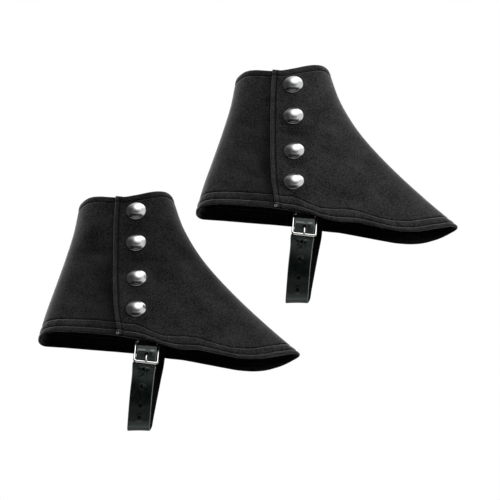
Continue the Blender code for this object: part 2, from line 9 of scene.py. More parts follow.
import bmesh
import bpy
import numpy as np
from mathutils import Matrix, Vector

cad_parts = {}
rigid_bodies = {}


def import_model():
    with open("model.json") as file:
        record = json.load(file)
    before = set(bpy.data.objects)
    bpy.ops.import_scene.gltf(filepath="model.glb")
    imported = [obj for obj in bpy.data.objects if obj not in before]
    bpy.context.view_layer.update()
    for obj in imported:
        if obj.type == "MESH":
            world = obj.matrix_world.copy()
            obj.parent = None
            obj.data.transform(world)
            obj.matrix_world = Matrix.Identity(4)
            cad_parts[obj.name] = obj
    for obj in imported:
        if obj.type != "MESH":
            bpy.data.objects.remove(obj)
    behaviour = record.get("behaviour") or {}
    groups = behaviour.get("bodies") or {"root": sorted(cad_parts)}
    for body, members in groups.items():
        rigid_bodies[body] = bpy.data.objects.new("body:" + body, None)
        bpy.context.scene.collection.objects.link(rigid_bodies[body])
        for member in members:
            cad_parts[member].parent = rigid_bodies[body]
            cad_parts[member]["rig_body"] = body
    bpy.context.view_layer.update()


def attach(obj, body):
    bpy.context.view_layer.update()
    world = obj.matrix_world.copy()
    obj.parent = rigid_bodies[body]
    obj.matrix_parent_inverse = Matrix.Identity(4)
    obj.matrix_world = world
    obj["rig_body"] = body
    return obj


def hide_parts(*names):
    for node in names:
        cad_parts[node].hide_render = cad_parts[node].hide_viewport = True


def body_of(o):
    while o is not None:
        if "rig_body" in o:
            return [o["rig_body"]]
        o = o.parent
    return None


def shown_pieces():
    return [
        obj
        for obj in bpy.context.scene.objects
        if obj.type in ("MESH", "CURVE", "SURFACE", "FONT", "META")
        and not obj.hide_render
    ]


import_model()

MM = 0.001
SHIFTS = {"lower": (0.0, 0.0, 0.0), "upper": (159.6, -64.4, 111.5)}

# Felt walls
FELT = 1.8
GAP = 0.3
SEAM_GAP = 0.05               # the solids keep 0.3 here: sewn shut, so no light comes through
RIM_WIDTH = 49.0
HEM_SHIFT = 10.0
SHIFT_POWER = 1.8
HEM_BAND = 15.0
HEM_EXTRA = 0.8
RIM_BAND = 8.0
RIM_EXTRA = 0.5
UNDERLAP = 36.0
FRONT_LIFT = 1.3
BACK_SINK = FELT + GAP - FRONT_LIFT
FOLD_WIDTH = 6.0
FOLD_EXTRA = 0.85
FOLD_FADE = 1.5               # width over which the fold's extra thickness ends
FOLD_REACH = 9.0              # and where its sewing's pull ends
SINK_FROM = 0.4               # share of the back panel's columns where its sinking begins
FRONT_FALL = 0.6              # share of the front panel's over which its lift dies away
BAND_FADE = 1.2
EDGE_RADIUS = FELT / 2 + 0.1

# The heel line, the instep line and the placket's edge, down the height (0 hem, 1 rim)
LEVELS = {
    "level":     (0.0,   0.2,   0.4,   0.6,   0.8,   1.0),
    "heel_x":    (-87.8, -80.2, -70.7, -61.3, -52.9, -47.3),
    "instep_x":  (178.0, 141.9, 108.7, 80.3,  60.4,  48.5),
    "placket_x": (-7.0,  -10.8, -12.0, -12.0, -11.6, -9.8),
}
# The hem, from the heel (0) to the toe (1): half width and the height of either side
HEM = (
    # along, half,  near_z,  far_z
    (0.000, 0.0, -164.5, -164.5),
    (0.024, 15.5, -163.2, -162.0),
    (0.055, 19.5, -163.5, -160.6),
    (0.100, 22.0, -164.3, -160.1),
    (0.200, 23.9, -166.7, -161.5),
    (0.330, 24.2, -171.0, -164.6),
    (0.440, 23.4, -177.5, -169.1),
    (0.490, 22.8, -182.8, -171.9),
    (0.550, 22.2, -186.3, -174.2),
    (0.610, 21.7, -186.3, -178.0),
    (0.700, 20.9, -191.1, -183.7),
    (0.770, 19.8, -194.4, -187.8),
    (0.850, 17.0, -193.0, -189.9),
    (0.914, 14.2, -188.0, -187.2),
    (0.975, 8.7, -182.2, -181.7),
    (1.000, 0.0, -179.6, -179.6),
)
# The rim, from the heel (0) to the instep (1): the height of either side
RIM = (
    # along, near_z, far_z
    (0.000, -3.0, -3.0),
    (0.047, -0.2, -1.0),
    (0.110, 1.2, -0.6),
    (0.200, 0.3, -1.2),
    (0.360, -2.6, -2.6),
    (0.484, -3.6, -3.4),
    (0.609, -0.9, -1.6),
    (0.734, 3.1, 1.7),
    (0.859, 7.3, 5.4),
    (0.930, 9.1, 7.4),
    (0.977, 8.5, 7.4),
    (1.000, 6.5, 6.5),
)
# Soft hollows in the felt
HOLLOWS = {
    # x, z, half length along and across, slope (degrees from +X), depth
    "near": (
        (-29, -66, 17, 8, 80, 1.3), (-21, -117, 15, 7, 100, 1.2),
        (14, -81, 11, 9, 20, 0.9), (4, -40, 10, 7, 60, 0.5),
        (52, -66, 34, 9, -38, 1.1), (88, -106, 24, 9, -70, 1),
    ),
    "far": (
        (20, -60, 20, 9, 75, 1.2), (-40, -100, 18, 9, 95, 1.1),
        (60, -104, 32, 9, -45, 1.2),
    ),
}
# Small creases and swells of the soft cloth, on top of those: the same rows
CREASES = {
    "near": (
        (-16.4, -102, 22, 3.4, 92, 0.8), (-31, -69, 12, 4.5, -22, 0.7),
        (-32, -129, 15, 5, -20, 0.7), (-31, -111, 13, 6, -12, -0.5),
        (-25, -36, 12, 4, 100, 0.4), (11.6, -80.5, 13, 4.2, -4, 0.9),
        (29, -61, 9, 4, 70, 0.45), (41, -82, 11, 4.5, -45, 0.45),
        (15, -121.5, 12, 3.6, 3, 0.5), (68, -124, 24, 5.5, -58, 0.45),
        (99, -150, 15, 4.5, -50, 0.35), (52, -96, 14, 5, -30, -0.35),
    ),
    "far": (
        (34, -84, 16, 4.2, 12, 0.7), (-8, -46, 13, 4.5, 65, 0.6),
        (-34, -128, 15, 4.6, 15, 0.6), (-48, -84, 14, 5, 80, 0.5),
        (4, -112, 18, 4, 96, 0.7), (58, -128, 20, 5.5, -50, 0.5),
        (92, -148, 16, 4.5, -38, 0.45), (24, -134, 14, 5, -10, -0.4),
    ),
}
# Painted shade: dark patches in the felt's colour beside the fold, between the caps and inside, in
# the same rows for each panel
PAINTED_SHADE_PATCHES = {
    "back_panel": (
        (-14, -122, 55, 27, 92, 0.8), (-44, -62, 18, 11, 70, 0.3),
    ),
    "front_panel": (
        (10, -82, 20, 12, 0, 0.5), (8, -41, 16, 8, 0, 0.25),
        (40, -88, 16, 12, -50, 0.2),
    ),
    "inner_panel": (
        (22, -72, 40, 20, 60, 0.45), (-34, -118, 34, 18, 20, 0.45),
        (70, -136, 34, 14, -40, 0.3),
    ),
}
# Slow unevenness of the felt: sines across the side view
UNEVEN = (
    # wavelength, slope (degrees from +X), phase (degrees), height
    (61.0, 24.0, 40.0, 0.16),
    (37.0, 108.0, 200.0, 0.12),
    (23.0, 62.0, 10.0, 0.07),
    (15.5, -31.0, 130.0, 0.05),
)
HEM_ROWS = (0.0, 0.25, 0.6, 1.0, 1.5, 2.2, 3.2, 4.0, 4.4, 4.7, 5.0, 5.4, 5.8, 6.2, 6.6, 7.1,
            8.5, 10.5, 12.4, 13.0, 13.4, 13.8, 14.2, 14.7, 15.1, 15.5, 15.9, 16.5, 17.6)
RIM_ROWS = (0.0, 0.25, 0.6, 1.0, 1.5, 2.2, 3.2, 4.6, 5.6, 6.2, 6.6, 7.0, 7.6, 8.6, 10.0)
FOLD_COLUMNS = (0.0, 0.3, 0.7, 1.2, 2.0, 3.2, 4.2, 4.7, 5.0, 5.3, 5.8, 6.6, 8.0)
BODY_ROWS = 72
BACK_COLUMNS = 60
LAP_COLUMNS = 20
FRONT_COLUMNS = 90
INNER_COLUMNS = 150

# Sewing: distances from the turned edges, and the thread
HEM_SEWING = {"back_panel": (6.2, 15.5), "front_panel": (5.0, 13.8), "inner_panel": (5.0, 13.8)}
RIM_SEWING = 6.6
FOLD_SEWING = 5.0
SEWING_SINK = 0.8             # how deep a row of sewing draws the felt in
SEWING_SPREAD = 0.75          # half width of that groove
PUCKERS = (
    # wavelength along the hem, height, phase (degrees)
    (5.3, 0.10, 20.0),
    (8.9, 0.14, 110.0),
    (14.7, 0.16, 250.0),
)
STITCH_PITCH = 3.0
STITCH_LENGTH = 2.3
STITCH_WIDTH = 0.42           # half of it
STITCH_FLAT = 0.6             # its height as a share of its width
STITCH_RISE = 0.12            # how far its middle stands off the felt
STITCH_RINGS, STITCH_SIDES = 5, 6
STITCH_TIP = 1.02             # a little over 1, so the end rings keep a width
SEWING_SWELL = 0.22           # how far the felt swells between rows of sewing
PUCKER_SWAY, PUCKER_SPAN = 1.7, 3.1   # how unevenly the gathers follow each other
HEM_PUCKER_REACH = 16.5
RIM_PUCKER_START = 50.0       # so the rim's gathers aren't the hem's again
RIM_PUCKER_SHARE = 0.5
SEAM_SINK = 0.35
SEAM_SPREAD = 0.9
# Which columns of each panel lie at a seam, and to which side along Y they keep from it
SEAM_ENDS = {"back_panel": ((0, -1),), "front_panel": ((-1, -1),),
             "inner_panel": ((0, 1), (-1, 1))}
MARK_SPREAD = 1.0             # half width of the dark band along a row of sewing: partly fibres pressed down, partly painted shade in the groove
MARK_UNEVEN = (0.7, 0.3, 3.7, 1.6, 17.0)  # its strength: mean, swing, pace, sway, pace of that
FOLD_SHADE = 2.0              # the painted shadow of the fold on the back panel: width and strength
FOLD_DARK = 0.8
INNER_PRESSED_AND_SHADE, INNER_HIGHLIGHT = 0.4, 0.3    # how much of the darkening (pressed fibres and painted shade) and of the painted highlight shows on the inner face
HEM_HIGHLIGHT = 0.22                # painted highlight along the hem's, rim's and fold's edges: how pale, and how far in
RIM_HIGHLIGHT = 0.15
FOLD_HIGHLIGHT = 0.35
HIGHLIGHT_SPREAD = 1.4
FOLD_HIGHLIGHT_AT, FOLD_HIGHLIGHT_SPREAD = 1.8, 1.6
THREAD_RADIUS = 0.3
THREAD_STEPS, THREAD_SIDES = 40, 8
THREAD_CURL = (
    # from the placket's lower corner: along X, Y and Z
    (0.4, -1.9, 1.6),
    (1.3, -2.5, 0.5),
    (1.0, -2.7, -0.9),
    (-0.2, -2.4, -1.0),
    (-0.9, -2.3, 0.2),
    (-0.4, -2.1, 1.2),
)

# Snap fasteners
SNAPS = ((10.8, -21.7), (11.1, -59.8), (12.0, -102.2), (11.5, -140.1))    # x, z
CAP_RADIUS = 10.25
CAP_HEIGHT = 3.7
CAP_BASE_RADIUS = 9.3
CAP_YAW = -7.0                # degrees that each cap turns on the soft felt, to the heel side
CAP_PITCH = 3.0               # degrees that it leans up
PAD_REACH = 13.0              # how far round a cap the felt follows it, and how far behind it
PAD_DEPTH = 12.0
CAP_ROLL = 0.62               # how far in from its edge the cap is rolled
CAP_ROLL_LOW, CAP_ROLL_HIGH = 0.5, 0.42   # height of the roll's middle, and above that
CAP_CROWN_LOW = 0.75          # height at which the crown begins
BACK_PROFILE = (
    # radius, height
    (0.3, 0.0), (5.5, 0.0), (5.5, 0.6), (5.0, 1.2), (3.2, 1.2), (2.6, 0.7), (1.4, 0.6), (0.3, 0.6),
)
CAP_SIDES, STUD_SIDES = 56, 32
STUD_SMOOTH = 35

# The strap: middle line from its end in the buckle, under the shoe, to the far hem
STRAP_THICKNESS = 1.6
STRAP_WIDTH = 22.6
STRAP_BULGE = 1.7             # how much wider it springs just past the buckle
STRAP_BULGE_LENGTH = 16.0
STRAP_BUCKLE_WIDTH = 20.2
STRAP_NARROW_UNTIL = 17.5
STRAP_WIDENS_OVER = 4.5
STRAP_ROUTE = (
    # x, y, z
    (22.9, -30.2, -181.6),
    (22.4, -30.4, -191.6),
    (20.3, -30.0, -202.0),
    (18.8, -27.6, -217.0),
    (17.1, -23.8, -232.0),
    (15.8, -18.6, -247.0),
    (14.8, -12.5, -259.0),
    (14.4, -6.0, -264.3),
    (16.4, 0.2, -258.0),
    (18.5, 4.2, -243.0),
    (21.8, 7.2, -221.0),
    (25.5, 9.0, -198.0),
    (29.0, 10.0, -176.0),
)
STRAP_TOP = ((29.8, -166.0), (30.4, -158.0), (31.0, -151.0))
STRAP_STEPS, STRAP_FLATS = 260, 33    # along it, and across its face
FINE_STEPS = 4000             # of a curve, before it is cut into even steps
STRAP_SEAT_GAP = 0.45
HOLE_RADIUS = 1.9
HOLE_PLACES = (10.0, 27.0, 45.6, 64.3, 76.6)
PRONG_SLOT = 6.6
HOLE_RING = (0.22, 0.9, 0.6)  # height, distance from the hole's edge, spread
STRAP_SAG = (0.32, 0.9, 0.03, 0.9, 3.8, 1.8)  # height, place before the hole, curve, spreads
STRAP_FOLD = (0.8, 6.0, 0.9, 3.6)     # height, place along the strap, spread before and after it
STRAP_BUMP = (0.65, 5.5, 2.6, 6.5, 1.3, 3.6)  # height, place and spread across, then along
STRAP_FANS = (
    # height, how many, phase, distance from the hole's middle, spread
    (0.14, 3.0, 0.8, 4.2, 1.8),
    (0.07, 5.0, 2.0, 6.8, 2.0),
)
HOLE_SIDES = 24
CUT_WELD = 0.02               # points nearer than this are joined where a hole was cut
CUT_SMOOTH = 40               # degrees past which its edges are sharp

# The buckle
WIRE = 2.2
BAR_EXTRA = 0.35              # how much thicker the lower bar is, by radius
FRAME_WIDTH = 23.6
FRAME_CORNER = 2.6
FRAME_TOP = (23.4, -26.8, -175.8)
FRAME_BOTTOM = (21.7, -32.8, -201.6)
FRAME_LEAN = 5.6
FRAME_YAW = 4.3
FAR_YAW = -2.6
YAW_FADES_OVER = 70.0
WIRE_SIDES = 20
PRONG_RADIUS = 1.1
PRONG_STEPS, PRONG_SIDES = 90, 16
PRONG_ROUTE = (
    # down the frame, out of it
    (8.0, -2.3),
    (13.2, -2.5),
    (15.0, -1.9),
    (16.4, -0.5),
    (17.9, 1.1),
    (19.9, 2.3),
    (23.2, 2.8),
    (27.4, 2.6),
)
TAB_WIDTH = 18.4
TAB_THICKNESS = 1.2
TAB_HEIGHTS = (-158.0, -163.0, -168.0)
TAB_STEPS = 90
TAB_SLOT = 4.0
TAB_SLOT_RISE = 4.5

# Camera and lights, in metres
VIEW_ELEVATION = -30.0        # degrees, seen from below
VIEW_DISTANCE = 12.0
VIEW_WIDTH = 0.510            # what the picture's 500 pixels span
VIEW_MIDDLE = (0.1269, -0.0449)   # along X and up the picture, from the origin
SENSOR = 36.0
FLOOR_HEIGHT = -6.6
FLOOR_REACH = 1.8
LAMP_AIM = (0.13, 0.0, -0.05)
LAMPS = (
    # name, place, width and height, power in watts
    ("front", (0.9, -3.6, 0.9), (1.8, 1.8), 52.0),
    ("right", (3.6, -1.1, 0.4), (1.8, 1.4), 82.0),
    ("left", (-1.85, 0.5, 0.3), (0.8, 1.2), 30.0),
    ("edge", (2.6, 1.6, 1.6), (1.6, 1.8), 36.0),
)
# The studio. Each ramp goes from one place to another, with the strength at either
SKY_TOWARD = (0.0, 0.64, 0.77)
SKY_RAMP = (0.0, 1.0, 0.0, 0.9)   # by how far a direction is the sky's
GLOW_TOWARD = (0.06, -0.57, 0.82)
GLOW_SHAPE = (1.5, 1.0, 1.0)  # narrower than it is tall
GLOW_RAMP = (0.66, 0.05, 0.0, 2.0)    # the soft box, by the distance from its middle
SHADE_TOWARD = (0.0, -0.88, 0.47)
SHADE_RAMP = (0.15, 0.45, 0.1, 1.0)   # the dark patch below it, likewise
RIGHT_RAMP = (-0.6, 0.6, 0.08, 1.4)   # by the direction's X
WALL_RAMP = (0.0, 0.16, 0.005, 0.62)  # these four by its Z
CEILING_RAMP = (0.70, 0.95, 0.0, 0.9)
GROUND_RAMP = (-0.12, -0.28, 0.0, 0.16)
FLOOR_RAMP = (-0.7, -1.0, 0.0, 0.9)

# Finishes
NAP_NOISES = (
    # scale, detail, roughness, distortion
    (42.0, 5.0, 0.6),             # worn, brushed clouds
    (760.0, 3.0, 0.7),            # specks the size of fibre tufts
    (2300.0, 3.0, 0.6, 1.2),      # fibres, twisted a little
)
NAP_SHADE = (0.41, 0.62)      # from this much noise to this, dark to light
NAP_ROUGHNESS = (0.3, 0.7, 0.86, 1.0)
FIBRE_HEIGHT = 0.35
# How dark the felt's colour gets at full strength, where fibres are pressed down and where shade is
# painted
PRESSED_AND_SHADE_COLOUR = (0.25, 0.25, 0.25, 1.0)
FELT_FINISHES = (
    # name, dark, light, sheen, bump height in metres
    ("black_felt", (0.001, 0.001, 0.001), (0.056, 0.056, 0.056), 0.85, 0.0006),
    ("tab_felt", (0.006, 0.006, 0.006), (0.014, 0.013, 0.014), 0.05, 0.0004),
    ("black_thread", (0.002, 0.002, 0.002), (0.006, 0.006, 0.006), 0.0, 0.0001),
    ("pale_thread", (0.45, 0.45, 0.45), (0.8, 0.8, 0.8), 0.0, 0.0001),
)
# Smooth finishes: name, plain values, colours, roughness (each clean and worn), grain, bump
STRAP_FINISH = (
    "black_vinyl", {"Specular IOR Level": 0.5, "Coat Roughness": 0.08,
                    "Specular Tint": (0.82, 1.0, 0.93, 1.0)},
    ((0.0025, 0.005, 0.0038), (0.006, 0.010, 0.008)), (0.15, 0.3), 0.4, 0.00005)
STRAP_EDGE_COLOUR = (0.11, 0.125, 0.118, 1.0)
STRAP_BACK_COLOUR = (0.003, 0.003, 0.003, 1.0)
STRAP_COAT = 0.6
METAL_FINISHES = (
    ("bright_nickel", {"Metallic": 1.0}, ((0.86, 0.86, 0.85), (0.74, 0.73, 0.70)),
     (0.14, 0.24), 0.0, 0.00001),
    ("satin_nickel", {"Metallic": 1.0}, ((0.70, 0.70, 0.71), (0.60, 0.60, 0.61)),
     (0.15, 0.20), 0.0, 0.00001),
)


def smooth_row(at, places, values):
    """A cubic through a table's rows, with each row's slope taken from its neighbours."""
    places, values = np.asarray(places, float), np.asarray(values, float)
    slopes = np.gradient(values, places)
    row = np.clip(np.searchsorted(places, at, side="right") - 1, 0, len(places) - 2)
    step = places[row + 1] - places[row]
    share = (np.clip(at, places[0], places[-1]) - places[row]) / step
    start, end = values[row], values[row + 1]
    lean_in, lean_out = slopes[row] * step, slopes[row + 1] * step
    return (start * (1 + 2 * share) * (1 - share) ** 2 + lean_in * share * (1 - share) ** 2
            + end * share ** 2 * (3 - 2 * share) - lean_out * share ** 2 * (1 - share))


def smoothstep(value):
    """0 up to 0, 1 from 1 on, with a soft slope between."""
    value = np.clip(value, 0.0, 1.0)
    return value * value * (3.0 - 2.0 * value)


def unit(vectors):
    return vectors / np.linalg.norm(vectors, axis=-1, keepdims=True)


def reach_along(points):
    """The length along each row of points, up to each point."""
    steps = np.linalg.norm(np.diff(points, axis=-2), axis=-1)
    return np.concatenate([np.zeros_like(steps[..., :1]), np.cumsum(steps, axis=-1)], axis=-1)


def read_rows(at, reach, rows):
    """Rows of three numbers, read at lengths along them."""
    return np.stack([np.interp(at, reach, rows[:, axis]) for axis in range(3)], axis=-1)


def full_circle(sides):
    return np.arange(sides) * 2 * math.pi / sides


def turn_of(along):
    """The angle round a half oval, 0 to 1, of a share of its length."""
    return np.arccos(1.0 - 2.0 * np.clip(along, 0.0, 1.0)) / math.pi


def level_value(name, level):
    return smooth_row(level, LEVELS["level"], LEVELS[name])


def column(table, index):
    return [row[index] for row in table]


def bells(rows, x, z):
    """The sum of a table's long bells, each on its slope in side view."""
    depth = np.zeros(np.broadcast(x, z).shape)
    for mid_x, mid_z, length, breadth, slope, most in rows:
        turn = math.radians(slope)
        long_way = (x - mid_x) * math.cos(turn) + (z - mid_z) * math.sin(turn)
        cross_way = (z - mid_z) * math.cos(turn) - (x - mid_x) * math.sin(turn)
        depth += most * np.exp(-(long_way / length) ** 2 - (cross_way / breadth) ** 2)
    return depth


def hollow_depth(side, x, z):
    """How far the felt is pushed in: bell-shaped hollows, and slow sines of unevenness."""
    depth = bells(HOLLOWS[side], x, z)
    for wavelength, slope, phase, height in UNEVEN:
        turn = math.radians(slope)
        along = (x * math.cos(turn) + z * math.sin(turn)) * 2 * math.pi / wavelength
        depth += height * np.sin(along + math.radians(phase))
    return depth


def cover_form(turn, level, side):
    """The cover's common outer form at a turn (0 heel, 1 toe) and a level (0 hem, 1 rim).

    Along X it runs from the heel line to the instep line by the cosine of the turn. Across,
    it is half an oval: the hem's table at level 0, an ellipse at level 1, mixed between.
    """
    turn, level = np.broadcast_arrays(np.asarray(turn, float), np.asarray(level, float))
    along = (1.0 - np.cos(math.pi * turn)) / 2.0
    hem_turns = turn_of(np.array(column(HEM, 0)))
    rim_turns = turn_of(np.array(column(RIM, 0)))
    sign, place = (-1.0, 0) if side == "near" else (1.0, 1)
    heel, instep = level_value("heel_x", level), level_value("instep_x", level)
    hem_half = smooth_row(turn, hem_turns, column(HEM, 1))
    rim_half = RIM_WIDTH / 2.0 * np.sin(math.pi * turn)
    hem_z = smooth_row(turn, hem_turns, column(HEM, 2 + place))
    rim_z = smooth_row(turn, rim_turns, column(RIM, 1 + place))
    x = heel + (instep - heel) * along
    z = hem_z + (rim_z - hem_z) * level
    y = sign * (hem_half + (rim_half - hem_half) * level)
    y = y - HEM_SHIFT * np.clip(1.0 - level, 0.0, 1.0) ** SHIFT_POWER
    ends = np.sqrt(np.clip(np.sin(math.pi * turn), 0.0, 1.0))
    return np.stack([x, y - sign * hollow_depth(side, x, z) * ends, z], axis=-1)


def band_levels(turn, side):
    """Levels of the rows of points: at set distances in the turned bands, even between them."""
    step = 0.01
    low = cover_form(turn, 0.0, side)
    ahead = unit(cover_form(turn + step, 0.0, side) - cover_form(turn - step, 0.0, side))
    hem_rise = np.linalg.norm(np.cross(cover_form(turn, step, side) - low, ahead), axis=-1) / step
    top = cover_form(turn, 1.0, side) - cover_form(turn, 1.0 - step, side)
    rim_rise = np.linalg.norm(top, axis=-1) / step
    hem = [distance / hem_rise for distance in HEM_ROWS]
    rim = [1.0 - distance / rim_rise for distance in reversed(RIM_ROWS)]
    body = [hem[-1] + (rim[0] - hem[-1]) * number / (BODY_ROWS + 1)
            for number in range(1, BODY_ROWS + 1)]
    return np.stack(hem + body + rim)


def near_turns(levels):
    """Turns of the near side's columns: back, overlap and front, fine by the folded edge."""
    heel = level_value("heel_x", levels)
    length = level_value("instep_x", levels) - heel
    placket = level_value("placket_x", levels)
    start = turn_of((placket - heel) / length)
    end = turn_of((placket + UNDERLAP - heel) / length)
    fold = [distance / UNDERLAP for distance in FOLD_COLUMNS]
    rest = np.linspace(fold[-1], 1.0, LAP_COLUMNS + 1)[1:-1]
    shares = fold + list(rest)
    back = [start * number / BACK_COLUMNS for number in range(BACK_COLUMNS)]
    lap = [start + (end - start) * share for share in shares]
    front = [end + (1.0 - end) * number / FRONT_COLUMNS for number in range(FRONT_COLUMNS + 1)]
    return np.stack(back + lap + front, axis=-1), len(shares)


def ring_grid():
    """Points and outward normals round a cover, and the columns of its three panels."""
    middle, lap = near_turns(np.array(0.5))
    levels = band_levels(middle, "near")
    places = np.arange(len(middle))
    turns = np.stack([near_turns(row)[0][places, places] for row in levels])
    near = cover_form(turns, levels, "near")
    far_turns = np.linspace(1.0, 0.0, INNER_COLUMNS + 1)
    far = cover_form(far_turns, band_levels(far_turns, "far"), "far")
    far[:, 0], far[:, -1] = near[:, -1], near[:, 0]
    ring = np.concatenate([near, far[:, 1:-1]], axis=1)
    round_way = np.roll(ring, -1, axis=1) - np.roll(ring, 1, axis=1)
    normals = unit(np.cross(round_way, np.gradient(ring, axis=0)))
    toe = len(middle) - 1
    panels = {
        "back_panel": np.arange(0, BACK_COLUMNS + lap + 1),
        "front_panel": np.arange(BACK_COLUMNS, toe + 1),
        "inner_panel": np.arange(toe, ring.shape[1] + 1) % ring.shape[1],
    }
    return ring, normals, panels


def edge_round(distance):
    """How far a face falls away at a distance from a half-round edge."""
    short = np.clip(EDGE_RADIUS - distance, 0.0, EDGE_RADIUS)
    return EDGE_RADIUS - np.sqrt(EDGE_RADIUS ** 2 - short ** 2)


def sewn(distance, rows):
    """Fall of the felt by rows of sewing, less a soft swell between the edge and each row."""
    fall, start = np.zeros_like(distance), 0.0
    for row in rows:
        fall += SEWING_SINK * np.exp(-((distance - row) / SEWING_SPREAD) ** 2)
        share = np.clip((distance - start) / (row - start), 0.0, 1.0)
        fall -= SEWING_SWELL * np.sin(math.pi * share) ** 2
        start = row
    return fall


def form_at(x, z, side):
    """The common form's outer point and normal at a given x and z on one side."""
    turn, level = 0.5, 0.5
    for _ in range(60):
        heel, instep = level_value("heel_x", level), level_value("instep_x", level)
        turn = float(turn_of((x - heel) / (instep - heel)))
        low, high = cover_form(turn, 0.0, side)[2], cover_form(turn, 1.0, side)[2]
        level = (z - low) / (high - low)
    step = 0.02
    round_way = cover_form(turn + step, level, side) - cover_form(turn - step, level, side)
    up_way = cover_form(turn, level + step, side) - cover_form(turn, level - step, side)
    normal = unit(np.cross(round_way, up_way))
    return cover_form(turn, level, side), normal if side == "near" else -normal


def new_object(name, data):
    piece = bpy.data.objects.new(name, data)
    bpy.context.scene.collection.objects.link(piece)
    return piece


def make_mesh(cover, name, points, faces, material, smooth=60):
    """An object at the origin with its place in its mesh, smooth but for edges past an angle."""
    name = f"{cover}_{name}"
    mesh = bpy.data.meshes.new(name)
    places = (np.asarray(points, float).reshape(-1, 3) + np.array(SHIFTS[cover])) * MM
    mesh.from_pydata(places, [], faces)
    mesh.materials.append(material)
    mesh.update()
    mesh.shade_smooth()
    mesh.set_sharp_from_angle(angle=math.radians(smooth))
    return new_object(name, mesh)


def wall_faces(rows, columns):
    """Quads of a closed wall: an outer grid, an inner grid and the strip between their edges."""
    count = rows * columns
    row, place = np.meshgrid(np.arange(rows - 1), np.arange(columns - 1), indexing="ij")
    corner = (row * columns + place).ravel()
    outer = np.stack([corner, corner + 1, corner + columns + 1, corner + columns], axis=1)
    edge = np.concatenate([
        np.arange(columns - 1), np.arange(rows - 1) * columns + columns - 1,
        count - 1 - np.arange(columns - 1), np.arange(rows - 1, 0, -1) * columns])
    after = np.roll(edge, -1)
    strip = np.stack([after, edge, edge + count, after + count], axis=1)
    return np.concatenate([outer, outer[:, ::-1] + count, strip]).tolist()


def tube_faces(rings, sides, closed=False):
    """Quads of a tube of rings, and its two end faces unless it closes on itself."""
    last = rings if closed else rings - 1
    ring, side = np.meshgrid(np.arange(last), np.arange(sides), indexing="ij")
    here, after = ring * sides + side, ring * sides + (side + 1) % sides
    jump = (ring + 1) % rings * sides
    up_here, up_after = jump + side, jump + (side + 1) % sides
    faces = np.stack([here, after, up_after, up_here], axis=-1).reshape(-1, 4).tolist()
    if not closed:
        faces.append(list(range(sides))[::-1])
        faces.append([(rings - 1) * sides + number for number in range(sides)])
    return faces


def puckers(run, distance, reach):
    """Felt gathered between the rows of sewing: uneven swells along it, strongest midway."""
    swell = sum(height * np.sin(run * 2 * math.pi / wavelength + math.radians(phase)
                                + PUCKER_SWAY * np.sin(run / (PUCKER_SPAN * wavelength)))
                for wavelength, height, phase in PUCKERS)
    return swell * np.sin(math.pi * np.clip(distance / reach, 0.0, 1.0))[:, None]


def band_distances(rows):
    """How far each row of points is from the hem's edge and from the rim's, within their bands."""
    hem, rim = np.full(rows, np.inf), np.full(rows, np.inf)
    hem[:len(HEM_ROWS)] = HEM_ROWS
    rim[-len(RIM_ROWS):] = RIM_ROWS[::-1]
    return hem, rim


def panel_faces(ring, normals, columns, name):
    """Outer and inner points of one felt panel, with turned edges, swells and sewn grooves.

    Each point is the common form's, moved along its normal: out by the panel's lift, in by
    the half-round edges, the rows of sewing and the seams at heel and instep.
    """
    form, out = ring[:, columns], normals[:, columns]
    hem, rim = band_distances(len(form))
    sewing = np.zeros(len(form))
    sewing[:len(HEM_ROWS)] = sewn(np.array(HEM_ROWS), HEM_SEWING[name])
    sewing[-len(RIM_ROWS):] = sewn(np.array(RIM_ROWS[::-1]), (RIM_SEWING,))
    from_start = reach_along(form)
    edges = np.maximum(edge_round(hem), edge_round(rim))[:, None]
    fall = sewing[:, None] + puckers(from_start, hem, HEM_PUCKER_REACH)
    fall = fall + RIM_PUCKER_SHARE * puckers(from_start + RIM_PUCKER_START, rim, RIM_SEWING)
    if name == "front_panel":
        edges = np.maximum(edges, edge_round(from_start))
        fall = fall + np.where(from_start < FOLD_REACH, sewn(from_start, (FOLD_SEWING,)), 0.0)
    for end, _ in SEAM_ENDS[name]:
        to_seam = np.abs(from_start - from_start[:, end:][:, :1])
        fall = fall + SEAM_SINK * np.exp(-(to_seam / SEAM_SPREAD) ** 2)
    turned = HEM_EXTRA * smoothstep((HEM_BAND + BAND_FADE / 2 - hem) / BAND_FADE)
    turned = turned + RIM_EXTRA * smoothstep((RIM_BAND + BAND_FADE / 2 - rim) / BAND_FADE)
    return form, out, from_start, fall, edges, turned[:, None]


